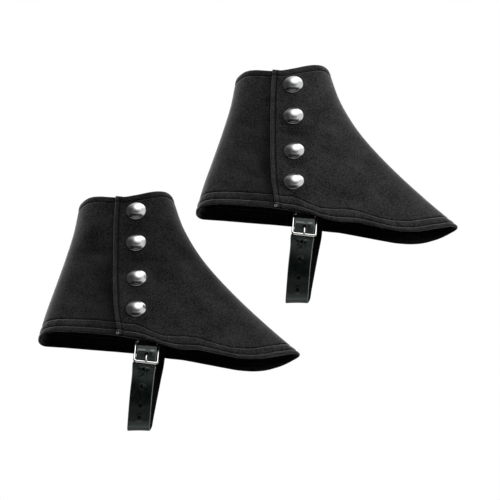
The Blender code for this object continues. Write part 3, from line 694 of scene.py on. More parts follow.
def felt_marks(form, run, name):
    """Dark along the sewing (pressed fibres and painted shade), painted shadow by the fold, painted
    highlight on edges.

    Each mark is a bell of the distance from a row of sewing, or from an edge.
    """
    hem, rim = band_distances(len(form))
    # Along the rows of sewing: partly fibres pressed down, partly painted shade in the grooves.
    pressed_and_shade = sum(np.exp(-((hem - row) / MARK_SPREAD) ** 2) for row in HEM_SEWING[name])
    pressed_and_shade = pressed_and_shade + np.exp(-((rim - RIM_SEWING) / MARK_SPREAD) ** 2)
    mean, swing, pace, sway, sway_pace = MARK_UNEVEN
    uneven = mean + swing * np.sin(run / pace + sway * np.sin(run / sway_pace))
    pressed_and_shade = pressed_and_shade[:, None] * uneven
    # Painted highlight along the hem's and rim's turned edges.
    painted_highlight = HEM_HIGHLIGHT * np.exp(-(hem / HIGHLIGHT_SPREAD) ** 2) + RIM_HIGHLIGHT * np.exp(-(rim / HIGHLIGHT_SPREAD) ** 2)
    painted_highlight = painted_highlight[:, None] + np.zeros_like(run)
    if name == "front_panel":
        # Along the fold: pressed fibres and painted shade in its sewing, and a painted highlight on
        # its ridge.
        pressed_and_shade = np.maximum(pressed_and_shade, np.exp(-((run - FOLD_SEWING) / MARK_SPREAD) ** 2))
        painted_highlight = painted_highlight + FOLD_HIGHLIGHT * np.exp(-((run - FOLD_HIGHLIGHT_AT) / FOLD_HIGHLIGHT_SPREAD) ** 2)
    if name == "back_panel":
        # Painted shadow of the front panel's fold, cast on the back panel beside it.
        to_fold = run[:, BACK_COLUMNS:BACK_COLUMNS + 1] - run
        pressed_and_shade = np.maximum(pressed_and_shade, FOLD_DARK * np.exp(-(to_fold / FOLD_SHADE) ** 2))
    # Painted shade patches, from the table of them.
    shade_patches = bells(PAINTED_SHADE_PATCHES[name], form[..., 0], form[..., 2])
    return np.maximum(pressed_and_shade, shade_patches), painted_highlight


def add_panels(cover, felt, thread):
    """The back panel with its underlap, the front panel over it, and the inner panel."""
    ring, normals, panels = ring_grid()
    for name, columns in panels.items():
        form, out, run, fall, edges, turned = panel_faces(ring, normals, columns, name)
        side = "far" if name == "inner_panel" else "near"
        lift = -bells(CREASES[side], form[..., 0], form[..., 2])
        thick = turned + np.zeros_like(lift)
        if name == "back_panel":
            share = np.arange(len(columns)) / BACK_COLUMNS
            lift -= BACK_SINK * smoothstep((share - SINK_FROM) / (1.0 - SINK_FROM))
        if name == "front_panel":
            lap = len(columns) - 1 - FRONT_COLUMNS
            away = smoothstep((np.arange(len(columns)) - lap) / (FRONT_FALL * FRONT_COLUMNS))
            fold = FOLD_EXTRA * (1.0 - smoothstep((run - FOLD_WIDTH) / FOLD_FADE))
            lift += FRONT_LIFT * (1.0 - away) + fold + cap_pads(form)
            thick = turned * away
        outer = form + out * (lift - fall - edges)[..., None]
        inner = form + out * (lift - FELT - thick + edges)[..., None]
        for end, way in SEAM_ENDS[name]:
            for points in (outer, inner):
                points[:, end, 1] += way * SEAM_GAP / 2
        points = np.concatenate([outer.reshape(-1, 3), inner.reshape(-1, 3)])
        piece = make_mesh(cover, f"{name}_felt", points, wall_faces(*form.shape[:2]), felt)
        # Painted shade (with pressed fibres along the sewing) and painted highlight, as point
        # values for the felt's colour.
        pressed_and_shade, painted_highlight = felt_marks(form, run, name)
        mark_points(piece, "pressed_and_shade", np.stack([pressed_and_shade, INNER_PRESSED_AND_SHADE * pressed_and_shade]))
        mark_points(piece, "painted_highlight", np.stack([painted_highlight, INNER_HIGHLIGHT * painted_highlight]))
        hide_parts(f"{cover}_{name}")
        sewing = add_sewing(cover, name, sewing_rows(name, outer, inner, out), thread)


def sewing_rows(name, outer, inner, out):
    """The rows of sewing on a panel, each as points on the felt and normals off it."""
    rows = []
    hem_places = [HEM_ROWS.index(distance) for distance in HEM_SEWING[name]]
    rim_place = len(outer) - 1 - RIM_ROWS.index(RIM_SEWING)
    end = BACK_COLUMNS + 1 if name == "back_panel" else outer.shape[1]
    for place in hem_places + [rim_place]:
        rows.append((outer[place, 2:end - 2], out[place, 2:end - 2]))
        rows.append((inner[place, 2:-2], -out[place, 2:-2]))
    if name == "front_panel":
        fold = FOLD_COLUMNS.index(FOLD_SEWING)
        rows.append((outer[4:-4, fold], out[4:-4, fold]))
    return rows


def add_sewing(cover, name, rows, thread):
    """Every stitch of a panel in one mesh: a short capsule for each, half sunk in the felt.

    A capsule is rings of points whose width follows the square root of what is left of a
    circle's, so its ends are round; all are placed at once from their rows' even points.
    """
    middles, aheads, outs = [], [], []
    for points, normals in rows:
        reach = reach_along(points)
        marks = np.arange(STITCH_PITCH / 2, reach[-1] - STITCH_PITCH / 2, STITCH_PITCH)
        middles.append(read_rows(marks, reach, points))
        aheads.append(unit(read_rows(marks + 0.5, reach, points) - middles[-1]))
        outs.append(unit(read_rows(marks, reach, normals)))
    middle, ahead, out = (np.concatenate(parts) for parts in (middles, aheads, outs))
    side = unit(np.cross(out, ahead))
    stations, turns = np.linspace(-1.0, 1.0, STITCH_RINGS), full_circle(STITCH_SIDES)
    width = STITCH_WIDTH * np.sqrt(np.clip(STITCH_TIP - stations ** 2, 0.0, 1.0))
    along = ahead[:, None, None] * (stations * STITCH_LENGTH / 2)[None, :, None, None]
    across = side[:, None, None] * (width[:, None] * np.cos(turns))[None, :, :, None]
    stand = STITCH_FLAT * width[:, None] * np.sin(turns) + STITCH_RISE
    bulge = out[:, None, None] * stand[None, :, :, None]
    points = middle[:, None, None] + along + across + bulge
    tube = tube_faces(STITCH_RINGS, STITCH_SIDES)
    pattern, ends = np.array(tube[:-2]), tube[-2:]
    starts = np.arange(len(middle)) * STITCH_RINGS * STITCH_SIDES
    faces = (pattern[None] + starts[:, None, None]).reshape(-1, 4).tolist()
    faces += [[index + start for index in end] for start in starts.tolist() for end in ends]
    piece = make_mesh(cover, f"{name}_sewing", points, faces, thread)
    return piece


def turned_points(profile, sides, point, normal):
    """Points and quads of a profile of (radius, height) turned round a normal, ends closed."""
    radii, heights = np.array(profile, float).T
    turns = full_circle(sides)
    aside = unit(np.cross(normal, (0.0, 0.0, 1.0)))
    up = np.cross(normal, aside)
    points = (point + np.asarray(normal) * heights[:, None, None]
              + aside * (radii[:, None] * np.cos(turns))[..., None]
              + up * (radii[:, None] * np.sin(turns))[..., None])
    return points, tube_faces(len(radii), sides)


def cap_profile():
    """A domed cap: a ball's crown, a rolled edge and a flat base."""
    inside, rise = CAP_RADIUS - CAP_ROLL, CAP_HEIGHT - CAP_CROWN_LOW
    sphere = (inside ** 2 + rise ** 2) / (2 * rise)
    dome = [(sphere * math.sin(turn), CAP_HEIGHT - sphere * (1.0 - math.cos(turn)))
            for turn in np.linspace(0.02, math.asin(inside / sphere), 16)]
    edge = [(inside + CAP_ROLL * math.cos(turn), CAP_ROLL_LOW + CAP_ROLL_HIGH * math.sin(turn))
            for turn in np.radians(np.linspace(35, -120, 9))]
    return (dome[:-1] + edge + [(CAP_BASE_RADIUS, 0.0), (0.5, 0.0)])[::-1]


def cap_seat(x, z):
    """A cap's base middle and axis: turned a little, and out until its low edge is clear."""
    point, normal = form_at(x, z, "near")
    aside = unit(np.cross(normal, (0.0, 0.0, 1.0)))
    up = np.cross(aside, normal)
    yaw, pitch = math.radians(CAP_YAW), math.radians(CAP_PITCH)
    axis = unit(normal - aside * math.tan(yaw) + up * math.tan(pitch))
    lean = math.sqrt(1.0 - float(axis.dot(normal)) ** 2)
    return point + normal * (FRONT_LIFT + GAP + CAP_BASE_RADIUS * lean), axis


def cap_pads(points):
    """How far the front felt rises under the caps: up to each cap's base, and away past it."""
    rise = np.zeros(points.shape[:-1])
    for x, z in SNAPS:
        seat, axis = cap_seat(x, z)
        _, normal = form_at(x, z, "near")
        ground = seat - normal * (FRONT_LIFT + GAP)
        away = points - ground
        level = away - np.outer(away @ normal, normal).reshape(away.shape)
        reach = np.linalg.norm(level, axis=-1)
        base = CAP_BASE_RADIUS * math.sqrt(1.0 - float(axis.dot(normal)) ** 2)
        under = np.clip(base - level @ axis / axis.dot(normal), 0.0, 2.0 * base)
        near = (np.abs(away @ normal) < PAD_DEPTH) & (reach < 3 * PAD_REACH)
        rise += np.where(near, under * np.exp(-(reach / PAD_REACH) ** 4), 0.0)
    return rise


def add_snaps(cover, nickel):
    """Domed caps seated on the front panel, and their plain backs inside the underlap."""
    inside = BACK_SINK + FELT + GAP
    for number, (x, z) in enumerate(SNAPS, start=1):
        point, normal = form_at(x, z, "near")
        points, faces = turned_points(cap_profile(), CAP_SIDES, *cap_seat(x, z))
        cap = make_mesh(cover, f"cap_{number}", points, faces, nickel)
        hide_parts(f"{cover}_snap_cap_{number}")
        seat = point - normal * inside
        points, faces = turned_points(BACK_PROFILE, STUD_SIDES, seat, -normal)
        stud = make_mesh(cover, f"stud_{number}", points, faces, nickel, STUD_SMOOTH)
        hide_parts(f"{cover}_snap_back_{number}")


def smooth_path(points, steps):
    """Even steps along a smooth curve through points, and the length up to each."""
    points = np.asarray(points, float)
    reach = reach_along(points)
    fine = np.linspace(0.0, reach[-1], FINE_STEPS)
    curve = np.stack([smooth_row(fine, reach, points[:, axis]) for axis in range(3)], axis=-1)
    length = reach_along(curve)
    even = np.linspace(0.0, length[-1], steps + 1)
    return read_rows(even, length, curve), even


def ribbon_frame(path, sideways):
    """Across and outward directions of a flat ribbon along a path, held to a side direction."""
    ahead = unit(np.gradient(path, axis=0))
    across = unit(sideways - ahead * np.sum(sideways * ahead, axis=1, keepdims=True))
    return across, np.cross(ahead, across)


def ribbon_points(path, across, out, width, thickness, flats=9, relief=None):
    """A ribbon's section carried along a path: flat faces, round edges, and a relief.

    Also gives, for each point, 1 on the back face and 1 on the cut edges.
    """
    turns = np.linspace(-math.pi / 2, math.pi / 2, 7)
    spread = np.linspace(1.0, -1.0, flats)[1:-1]
    thick = thickness / 2
    right = [(1.0, thick * (math.cos(turn) - 1.0), thick * math.sin(turn)) for turn in turns]
    section = (right + [(flat, 0.0, thick) for flat in spread]
               + [(-side, -shift, -height) for side, shift, height in right]
               + [(-flat, 0.0, -thick) for flat in spread])
    side, shift, height = (np.array(values) for values in zip(*section))
    half = (np.asarray(width) / 2 * np.ones(len(path)))[:, None]
    reach = side * half + shift
    lift = height + (0.0 if relief is None else relief(reach) * (height > 0.9 * thick))
    points = path[:, None] + across[:, None] * reach[..., None] + out[:, None] * lift[..., None]
    back = np.tile(height < 0.0, (len(path), 1))
    edge = np.tile(np.where(np.abs(height) < 0.95 * thick, 1.0,
                            0.7 * (np.abs(side) > 0.99)), (len(path), 1))
    faces = tube_faces(len(path), len(section))[:-2]
    rung = np.arange(len(section) // 2)
    start, last = len(turns) // 2, (len(path) - 1) * len(section)
    front, rear = (start + rung) % len(section), (start - rung) % len(section)
    after, before = (start + rung + 1) % len(section), (start - rung - 1) % len(section)
    for ends, shift in (((front, rear, before, after), 0), ((front, after, before, rear), last)):
        for corners in np.stack(ends, axis=1).tolist():
            faces.append([corner + shift for corner in dict.fromkeys(corners)])
    return points, faces, back, edge


def mark_points(piece, name, values):
    """A value for each point of a mesh, for its finish to read."""
    layer = piece.data.attributes.new(name, "FLOAT", "POINT")
    layer.data.foreach_set("value", np.asarray(values, np.float32).ravel())


def point_out(piece, weld=0.0):
    """Turns a closed mesh's faces outward, after it joins points that lie within weld."""
    shape = bmesh.new()
    shape.from_mesh(piece.data)
    if weld:
        bmesh.ops.remove_doubles(shape, verts=shape.verts, dist=weld * MM)
        bmesh.ops.dissolve_degenerate(shape, edges=shape.edges, dist=weld * MM / 10)
    bmesh.ops.recalc_face_normals(shape, faces=shape.faces)
    if shape.calc_volume(signed=True) < 0.0:
        bmesh.ops.reverse_faces(shape, faces=shape.faces)
    shape.to_mesh(piece.data)
    shape.free()


def cut_prisms(cover, piece, prisms):
    """Cuts prisms, each one end's outline and then the other's, out of a piece for good."""
    for points in prisms:
        sides = len(points) // 2
        faces = [[side, (side + 1) % sides, (side + 1) % sides + sides, side + sides]
                 for side in range(sides)]
        faces += [list(range(sides))[::-1], list(range(sides, 2 * sides))]
        cutter = make_mesh(cover, "cutter", points, faces, piece.data.materials[0])
        point_out(cutter)
        cut = piece.modifiers.new("cut", "BOOLEAN")
        cut.operation = "DIFFERENCE"
        cut.object = cutter
        bpy.context.view_layer.objects.active = piece
        bpy.ops.object.modifier_apply(modifier=cut.name)
        bpy.data.objects.remove(cutter)
    point_out(piece, CUT_WELD)
    piece.data.shade_smooth()
    piece.data.set_sharp_from_angle(angle=math.radians(CUT_SMOOTH))


def hole_prism(point, across, out, radii, depth):
    """A round or long hole's outline at either end, out along a direction."""
    ahead = np.cross(out, across)
    outline = [point + across * (radii[0] * math.cos(turn)) + ahead * (radii[1] * math.sin(turn))
               for turn in full_circle(HOLE_SIDES)]
    return [spot - out * depth for spot in outline] + [spot + out * depth for spot in outline]


def strap_relief(side, reach):
    """Height of the strap's face: a ring round each hole and creases by the buckle.

    Rings and creases are bells about a circle or a line. Small creases fan out from the first
    free hole, and a sag crosses it. A bent fold and a bump lie below the buckle's lower bar.
    """
    ahead = reach[:, None] * np.ones_like(side)
    height = np.zeros_like(side)
    most, rim, spread = HOLE_RING
    for place in HOLE_PLACES[1:]:
        away = np.hypot(side, ahead - place)
        height += most * np.exp(-((away - HOLE_RADIUS - rim) / spread) ** 2)
    place = HOLE_PLACES[1]
    away, angle = np.hypot(side, ahead - place), np.arctan2(ahead - place, side)
    for most, count, phase, middle, spread in STRAP_FANS:
        height += most * np.cos(count * angle + phase) * np.exp(-((away - middle) / spread) ** 2)
    most, above, curve, spread, aside, aside_spread = STRAP_SAG
    sag = np.exp(-((ahead - place + above + curve * side ** 2) / spread) ** 2)
    height += most * sag * np.exp(-((np.abs(side) - aside) / aside_spread) ** 2)
    most, at, before, after = STRAP_FOLD
    across_fold = ahead - at - 0.25 * np.clip(side + 3.0, 0.0, 8.0) ** 1.5
    spread = np.where(across_fold < 0.0, before, after)
    height += most * np.exp(-(across_fold / spread) ** 2) * smoothstep((1.5 - side) / 3.0)
    most, aside, aside_spread, at, before, after = STRAP_BUMP
    spread = np.where(ahead < at, before, after)
    height += most * np.exp(-((side - aside) / aside_spread) ** 2 - ((ahead - at) / spread) ** 2)
    return height


def add_strap(cover, vinyl):
    """The strap: narrowed where it passes the buckle, its five holes punched and puckered."""
    seats = []
    for x, z in STRAP_TOP:
        point, normal = form_at(x, z, "far")
        seats.append(point - normal * (FELT + HEM_EXTRA + STRAP_SEAT_GAP + STRAP_THICKNESS / 2))
    path, reach = smooth_path(list(STRAP_ROUTE) + seats, STRAP_STEPS)
    near_yaw = FRAME_YAW * (1.0 - smoothstep(reach / YAW_FADES_OVER))
    far_yaw = FAR_YAW * (1.0 - smoothstep((reach[-1] - reach) / YAW_FADES_OVER))
    yaw = np.radians(near_yaw + far_yaw)
    sideways = np.stack([np.cos(yaw), np.sin(yaw), np.zeros(len(yaw))], axis=1)
    across, out = ribbon_frame(path, sideways)
    widen = smoothstep((reach - STRAP_NARROW_UNTIL) / STRAP_WIDENS_OVER)
    spring = STRAP_BULGE * (1.0 - smoothstep((reach - STRAP_NARROW_UNTIL) / STRAP_BULGE_LENGTH))
    width = STRAP_BUCKLE_WIDTH + (STRAP_WIDTH + spring - STRAP_BUCKLE_WIDTH) * widen
    points, faces, back, edge = ribbon_points(
        path, across, out, width, STRAP_THICKNESS, STRAP_FLATS,
        relief=lambda side: strap_relief(side, reach))
    strap = make_mesh(cover, "strap_vinyl", points, faces, vinyl)
    mark_points(strap, "back", back)
    mark_points(strap, "edge", edge)
    point_out(strap)
    prisms = []
    for number, place in enumerate(HOLE_PLACES):
        point, side, away = (read_rows(place, reach, rows) for rows in (path, across, out))
        length = PRONG_SLOT / 2 if number == 0 else HOLE_RADIUS
        prisms.append(hole_prism(point, side, away, (HOLE_RADIUS, length), STRAP_THICKNESS * 2))
    cut_prisms(cover, strap, prisms)
    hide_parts(f"{cover}_strap")


def buckle_axes():
    """The frame's middle, and its directions across, down and out."""
    top, bottom = np.array(FRAME_TOP), np.array(FRAME_BOTTOM)
    down = unit(bottom - top)
    lean, yaw = math.radians(FRAME_LEAN), math.radians(FRAME_YAW)
    across = np.array([math.cos(lean), math.sin(yaw), -math.sin(lean)])
    across = unit(across - down * across.dot(down))
    return (top + bottom) / 2, across, down, np.cross(down, across)


def wire_points(path, radii, closed, sides, side_hint):
    """Rings of a round wire along a path, each square to it."""
    path = np.asarray(path, float)
    if closed:
        ahead = unit(np.roll(path, -1, axis=0) - np.roll(path, 1, axis=0))
    else:
        ahead = unit(np.gradient(path, axis=0))
    first = unit(np.cross(ahead, side_hint))
    second = np.cross(ahead, first)
    turns = full_circle(sides)
    radii = (np.asarray(radii) * np.ones(len(path)))[:, None, None]
    points = path[:, None] + radii * (first[:, None] * np.cos(turns)[None, :, None]
                                      + second[:, None] * np.sin(turns)[None, :, None])
    return points, tube_faces(len(path), sides, closed)


def add_buckle(cover, nickel):
    """The wire frame with round corners, and the prong with its round tip."""
    middle, across, down, out = buckle_axes()
    wide = FRAME_WIDTH / 2 - FRAME_CORNER
    tall = np.linalg.norm(np.array(FRAME_BOTTOM) - np.array(FRAME_TOP)) / 2 - FRAME_CORNER
    route, thicker = [], []
    for corner, (side, end) in enumerate(((1, 1), (-1, 1), (-1, -1), (1, -1))):
        for number in range(11):
            turn = math.radians(90 * corner + 9 * number)
            route.append(middle + across * (side * wide + FRAME_CORNER * math.cos(turn))
                         + down * (end * tall + FRAME_CORNER * math.sin(turn)))
            thicker.append(max(0.0, end * math.sin(turn)) if end > 0 else 0.0)
    radii = WIRE / 2 + BAR_EXTRA * np.array(thicker)
    points, faces = wire_points(route, radii, True, WIRE_SIDES, out)
    wire = make_mesh(cover, "frame_wire", points, faces, nickel)
    point_out(wire)
    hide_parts(f"{cover}_buckle_frame")

    hinge = np.array(FRAME_TOP)
    eye = WIRE / 2 + GAP + PRONG_RADIUS
    route = [hinge + out * eye * math.cos(turn) - down * eye * math.sin(turn)
             for turn in np.radians(np.linspace(95, 180, 6))]
    route += [hinge + down * ahead + out * stand for ahead, stand in PRONG_ROUTE]
    path, reach = smooth_path(route, PRONG_STEPS)
    left = np.clip((reach[-1] - reach) / PRONG_RADIUS, 0.0, 1.0)
    radii = PRONG_RADIUS * np.sqrt(np.clip(1.0 - (1.0 - left) ** 2, 0.02, 1.0))
    points, faces = wire_points(path, radii, False, PRONG_SIDES, across)
    prong = make_mesh(cover, "prong_wire", points, faces, nickel)
    point_out(prong)
    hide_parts(f"{cover}_buckle_prong")


def add_tab(cover, felt):
    """The tab sewn inside the near hem, round the buckle's top bar, and slit for the prong."""
    hinge = np.array(FRAME_TOP)
    _, across, _, _ = buckle_axes()
    down = unit(np.array([0.0, 0.0, -1.0]) + across * across[2])
    out = np.cross(down, across)
    bend = WIRE / 2 + GAP + TAB_THICKNESS / 2
    seat = BACK_SINK + FELT + HEM_EXTRA + GAP + TAB_THICKNESS / 2
    front, rear = [], []
    for height in TAB_HEIGHTS:
        lean = (height - hinge[2]) * math.tan(math.radians(FRAME_LEAN))
        point, normal = form_at(hinge[0] + lean, height, "near")
        front.append(point - normal * seat)
        rear.append(front[-1] - normal * (TAB_THICKNESS + GAP))
    loop = [hinge + bend * (out * math.cos(turn) + down * math.sin(turn))
            for turn in np.radians(np.linspace(0, 180, 9))]
    path, reach = smooth_path(front + loop + rear[::-1], TAB_STEPS)
    side, off = ribbon_frame(path, across)
    points, faces, _, _ = ribbon_points(path, side, off, TAB_WIDTH, TAB_THICKNESS)
    tab = make_mesh(cover, "tab_felt", points, faces, felt)
    point_out(tab)
    rise = TAB_SLOT_RISE
    slit = [hinge + np.array((end * TAB_SLOT / 2, depth, height)) for height in (rise, -rise)
            for end, depth in ((-1, 0.4), (1, 0.4), (1, rise), (-1, rise))]
    cut_prisms(cover, tab, [slit])
    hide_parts(f"{cover}_buckle_tab")


def add_thread_end(cover, pale):
    """A short curl of pale thread, left where the placket's sewing ends at the hem."""
    low = cover_form(near_turns(np.array(0.0))[0][BACK_COLUMNS], 0.0, "near")
    curl = [low + np.array(step) for step in THREAD_CURL]
    path, _ = smooth_path(curl, THREAD_STEPS)
    points, faces = wire_points(path, THREAD_RADIUS, False, THREAD_SIDES, (0.0, 0.0, 1.0))
    end = make_mesh(cover, "thread_end", points, faces, pale)
    point_out(end)


def new_material(name, settings):
    """A Principled material with plain values on its own sockets; also its tree and shader."""
    material = bpy.data.materials.new(name)
    material.use_nodes = True
    shader = material.node_tree.nodes["Principled BSDF"]
    for socket, value in settings.items():
        shader.inputs[socket].default_value = value
    return material, material.node_tree, shader


def feed(tree, node, inputs):
    """Gives a node its inputs: those that are sockets are linked, the others are set."""
    for name, value in inputs.items():
        if isinstance(value, bpy.types.NodeSocket):
            tree.links.new(value, node.inputs[name])
        else:
            node.inputs[name].default_value = value


def add_node(tree, kind, inputs=None, **settings):
    node = tree.nodes.new(f"ShaderNode{kind}")
    for name, value in settings.items():
        setattr(node, name, value)
    feed(tree, node, inputs or {})
    return node


def maths(tree, operation, *values, kind="Math", result=0):
    return add_node(tree, kind, dict(enumerate(values)), operation=operation).outputs[result]


def mixed(tree, kind, share, first, second, **settings):
    inputs = {"Factor": share, "A": first, "B": second}
    return add_node(tree, "Mix", inputs, data_type=kind, **settings).outputs["Result"]


def ramp(tree, value, low, high, start=0.0, end=1.0, kind="LINEAR"):
    """A ramp of a value: start at its low end, end at its high end, and no further."""
    inputs = {"Value": value, "From Min": low, "From Max": high, "To Min": start, "To Max": end}
    return add_node(tree, "MapRange", inputs, interpolation_type=kind).outputs["Result"]


def noise(tree, place, scale, detail, roughness=0.5, distortion=0.0):
    inputs = {"Vector": place, "Scale": scale, "Detail": detail, "Roughness": roughness,
              "Distortion": distortion}
    return add_node(tree, "TexNoise", inputs).outputs["Fac"]


def bumped(tree, height, strength, distance):
    inputs = {"Height": height, "Strength": strength, "Distance": distance}
    return add_node(tree, "Bump", inputs).outputs["Normal"]


def read_mark(tree, name):
    return add_node(tree, "Attribute", attribute_name=name).outputs["Fac"]


def new_group(name, inputs, outputs):
    """A node group with named inputs and outputs of given kinds: its tree and both its ends."""
    tree = bpy.data.node_groups.new(name, "ShaderNodeTree")
    for way, sockets in (("INPUT", inputs), ("OUTPUT", outputs)):
        for socket, kind in sockets.items():
            tree.interface.new_socket(socket, in_out=way, socket_type=f"NodeSocket{kind}")
    return tree, tree.nodes.new("NodeGroupInput").outputs, tree.nodes.new("NodeGroupOutput")


def nap_group():
    """Felt nap: cloudy and speckled shade between two colours, and the height of its fibres."""
    tree, given, end = new_group(
        "felt_nap", {"Dark": "Color", "Light": "Color", "Clouds": "Float", "Specks": "Float"},
        {"Color": "Color", "Height": "Float", "Roughness": "Float"})
    place = add_node(tree, "TexCoord").outputs["Object"]
    cloud, speck, fibre = (noise(tree, place, *texture) for texture in NAP_NOISES)
    clouds = maths(tree, "MULTIPLY", cloud, given["Clouds"])
    shade = ramp(tree, maths(tree, "MULTIPLY_ADD", speck, given["Specks"], clouds), *NAP_SHADE)
    feed(tree, end, {
        "Color": mixed(tree, "RGBA", shade, given["Dark"], given["Light"]),
        "Height": maths(tree, "MULTIPLY_ADD", fibre, FIBRE_HEIGHT, speck),
        "Roughness": ramp(tree, speck, *NAP_ROUGHNESS)})
    return tree


def wear_group():
    """Handling marks on a smooth finish: fine scratches and smudges in roughness and height."""
    tree, given, end = new_group(
        "handling_marks", dict.fromkeys(("Smooth", "Worn", "Grain"), "Float"),
        dict.fromkeys(("Roughness", "Height", "Marks"), "Float"))
    place = add_node(tree, "TexCoord").outputs["Object"]
    smudge = noise(tree, place, 160.0, 4.0, 0.6)
    stretch = add_node(tree, "Mapping", {"Vector": place, "Scale": (1.0, 1.0, 0.12)})
    scratch = noise(tree, stretch.outputs["Vector"], 900.0, 2.0)
    grain = add_node(tree, "TexVoronoi", {"Vector": place, "Scale": 1500.0}).outputs["Distance"]
    marks = ramp(tree, maths(tree, "MULTIPLY_ADD", scratch, 0.5, smudge), 0.55, 1.0)
    feed(tree, end, {
        "Roughness": mixed(tree, "FLOAT", marks, given["Smooth"], given["Worn"]),
        "Height": maths(tree, "MULTIPLY_ADD", grain, given["Grain"], marks),
        "Marks": marks})
    return tree


def felt_finish(nap, name, dark, light, sheen, bump_height):
    """Felt: the nap's colours and bump, its painted shade and painted highlight, and a soft sheen
    where it turns away.
    """
    material, tree, shader = new_material(name, {
        "Metallic": 0.0, "Specular IOR Level": 0.15, "Sheen Weight": sheen,
        "Sheen Roughness": 0.4, "Sheen Tint": (0.9, 0.9, 0.9, 1.0)})
    light = (*light, 1.0)
    effect = add_node(tree, "Group", {"Dark": (*dark, 1.0), "Light": light, "Clouds": 0.26,
                                      "Specks": 0.74}, node_tree=nap).outputs
    # The felt's colour: made darker by painted shade and pressed fibres, then paler by painted
    # highlight.
    darker = mixed(tree, "RGBA", read_mark(tree, "pressed_and_shade"), effect["Color"], PRESSED_AND_SHADE_COLOUR,
                   blend_type="MULTIPLY")
    paler = mixed(tree, "RGBA", read_mark(tree, "painted_highlight"), darker, light, blend_type="ADD")
    feed(tree, shader, {"Base Color": paler, "Roughness": effect["Roughness"],
                        "Normal": bumped(tree, effect["Height"], 0.55, bump_height)})
    return material


def smooth_finish(marks, name, settings, colours, roughness, grain, bump_height):
    """A smooth finish, metal or vinyl, with handling marks in its colour, gloss and bump."""
    material, tree, shader = new_material(name, settings)
    effect = add_node(tree, "Group", {"Smooth": roughness[0], "Worn": roughness[1],
                                      "Grain": grain}, node_tree=marks).outputs
    clean, worn = ((*colour, 1.0) for colour in colours)
    feed(tree, shader, {"Base Color": mixed(tree, "RGBA", effect["Marks"], clean, worn),
                        "Roughness": effect["Roughness"],
                        "Normal": bumped(tree, effect["Height"], 0.4, bump_height)})
    return material


def strap_finish(marks):
    """Coated strap: glossy face, dull backing, and paler cut edges."""
    material = smooth_finish(marks, *STRAP_FINISH)
    tree = material.node_tree
    shader = tree.nodes["Principled BSDF"]
    colour, rough = (shader.inputs[socket].links[0].from_socket
                     for socket in ("Base Color", "Roughness"))
    back = read_mark(tree, "back")
    paler = mixed(tree, "RGBA", read_mark(tree, "edge"), colour, STRAP_EDGE_COLOUR)
    feed(tree, shader, {"Base Color": mixed(tree, "RGBA", back, paler, STRAP_BACK_COLOUR),
                        "Roughness": mixed(tree, "FLOAT", back, rough, 1.0),
                        "Coat Weight": ramp(tree, back, 0.0, 1.0, STRAP_COAT, 0.0)})
    return material


def add_light(name, place, size, power):
    """A soft box: a rectangle of light at a place, facing the covers."""
    light = bpy.data.lights.new(name, "AREA")
    light.shape = "RECTANGLE"
    light.size, light.size_y = size
    light.energy = power
    lamp = new_object(name, light)
    lamp.location = place
    lamp.rotation_euler = (Vector(LAMP_AIM) - Vector(place)).to_track_quat("-Z", "Y").to_euler()
    lamp.visible_glossy = False


def add_camera():
    """A long lens below the covers, square to the picture's plane."""
    elevation = math.radians(VIEW_ELEVATION)
    ahead = Vector((0.0, math.cos(elevation), -math.sin(elevation)))
    up = Vector((0.0, math.sin(elevation), math.cos(elevation)))
    middle = Vector((VIEW_MIDDLE[0], 0.0, 0.0)) + up * VIEW_MIDDLE[1]
    lens = bpy.data.cameras.new("camera")
    lens.sensor_width = SENSOR
    lens.lens = SENSOR * VIEW_DISTANCE / VIEW_WIDTH
    camera = new_object("camera", lens)
    camera.location = middle - ahead * VIEW_DISTANCE
    camera.rotation_euler = ahead.to_track_quat("-Z", "Y").to_euler()
    bpy.context.scene.camera = camera


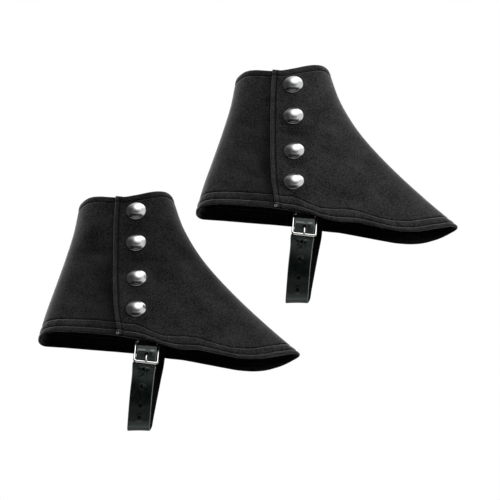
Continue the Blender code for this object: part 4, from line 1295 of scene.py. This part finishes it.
def add_world():
    """A studio: white to the eye, and light from above and behind.

    Smooth things mirror a tall soft box above the camera, the dark patch under it, a ceiling,
    walls that brighten to the right, a dark band at the horizon, and a pale floor below it.
    """
    world = bpy.data.worlds.new("studio")
    bpy.context.scene.world = world
    world.use_nodes = True
    tree = world.node_tree
    rays = add_node(tree, "LightPath").outputs
    place = add_node(tree, "TexCoord").outputs["Generated"]
    across, _, height = add_node(tree, "SeparateXYZ", {0: place}).outputs

    def vectors(operation, first, second, result="Value"):
        return maths(tree, operation, first, second, kind="VectorMath", result=result)

    def soft(value, levels):
        return ramp(tree, value, *levels, kind="SMOOTHSTEP")

    sky = soft(vectors("DOT_PRODUCT", place, SKY_TOWARD), SKY_RAMP)
    fade = soft(vectors("DISTANCE", place, SHADE_TOWARD), SHADE_RAMP)
    spread = vectors("MULTIPLY", place, GLOW_SHAPE, "Vector")
    middle = [toward * shape for toward, shape in zip(GLOW_TOWARD, GLOW_SHAPE)]
    glow = soft(vectors("DISTANCE", spread, middle), GLOW_RAMP)
    above = maths(tree, "MULTIPLY_ADD", soft(height, WALL_RAMP), fade, soft(height, CEILING_RAMP))
    below = maths(tree, "ADD", soft(height, GROUND_RAMP), soft(height, FLOOR_RAMP))
    walls = maths(tree, "MULTIPLY_ADD", above, soft(across, RIGHT_RAMP), below)
    shine = maths(tree, "ADD", walls, glow)
    light = mixed(tree, "FLOAT", rays["Is Glossy Ray"], sky, shine)
    feed(tree, tree.nodes["Background"], {
        "Color": (1.0, 1.0, 1.0, 1.0),
        "Strength": mixed(tree, "FLOAT", rays["Is Camera Ray"], light, 1.0)})


def add_floor():
    """A pale floor far below, out of the camera's sight."""
    mesh = bpy.data.meshes.new("floor")
    corners = [(x * FLOOR_REACH, y * FLOOR_REACH, FLOOR_HEIGHT)
               for x, y in ((-1, -1), (1, -1), (1, 1), (-1, 1))]
    mesh.from_pydata(corners, [], [(0, 1, 2, 3)])
    floor = new_object("floor", mesh)
    pale, _, _ = new_material("pale_floor", {"Base Color": (0.8, 0.8, 0.8, 1.0),
                                             "Roughness": 0.9})
    mesh.materials.append(pale)


def main():
    nap, marks = nap_group(), wear_group()
    felt, tab_felt, thread, pale_thread = (felt_finish(nap, *row) for row in FELT_FINISHES)
    vinyl = strap_finish(marks)
    nickel, cap_nickel = (smooth_finish(marks, *row) for row in METAL_FINISHES)
    for cover in SHIFTS:
        add_panels(cover, felt, thread)
        add_thread_end(cover, pale_thread)
        add_snaps(cover, cap_nickel)
        add_strap(cover, vinyl)
        add_buckle(cover, nickel)
        add_tab(cover, tab_felt)
    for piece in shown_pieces():
        if body_of(piece) is None:
            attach(piece, "root")
    add_world()
    add_floor()
    add_camera()
    for lamp in LAMPS:
        add_light(*lamp)
    bpy.context.scene.view_settings.view_transform = "Standard"


main()
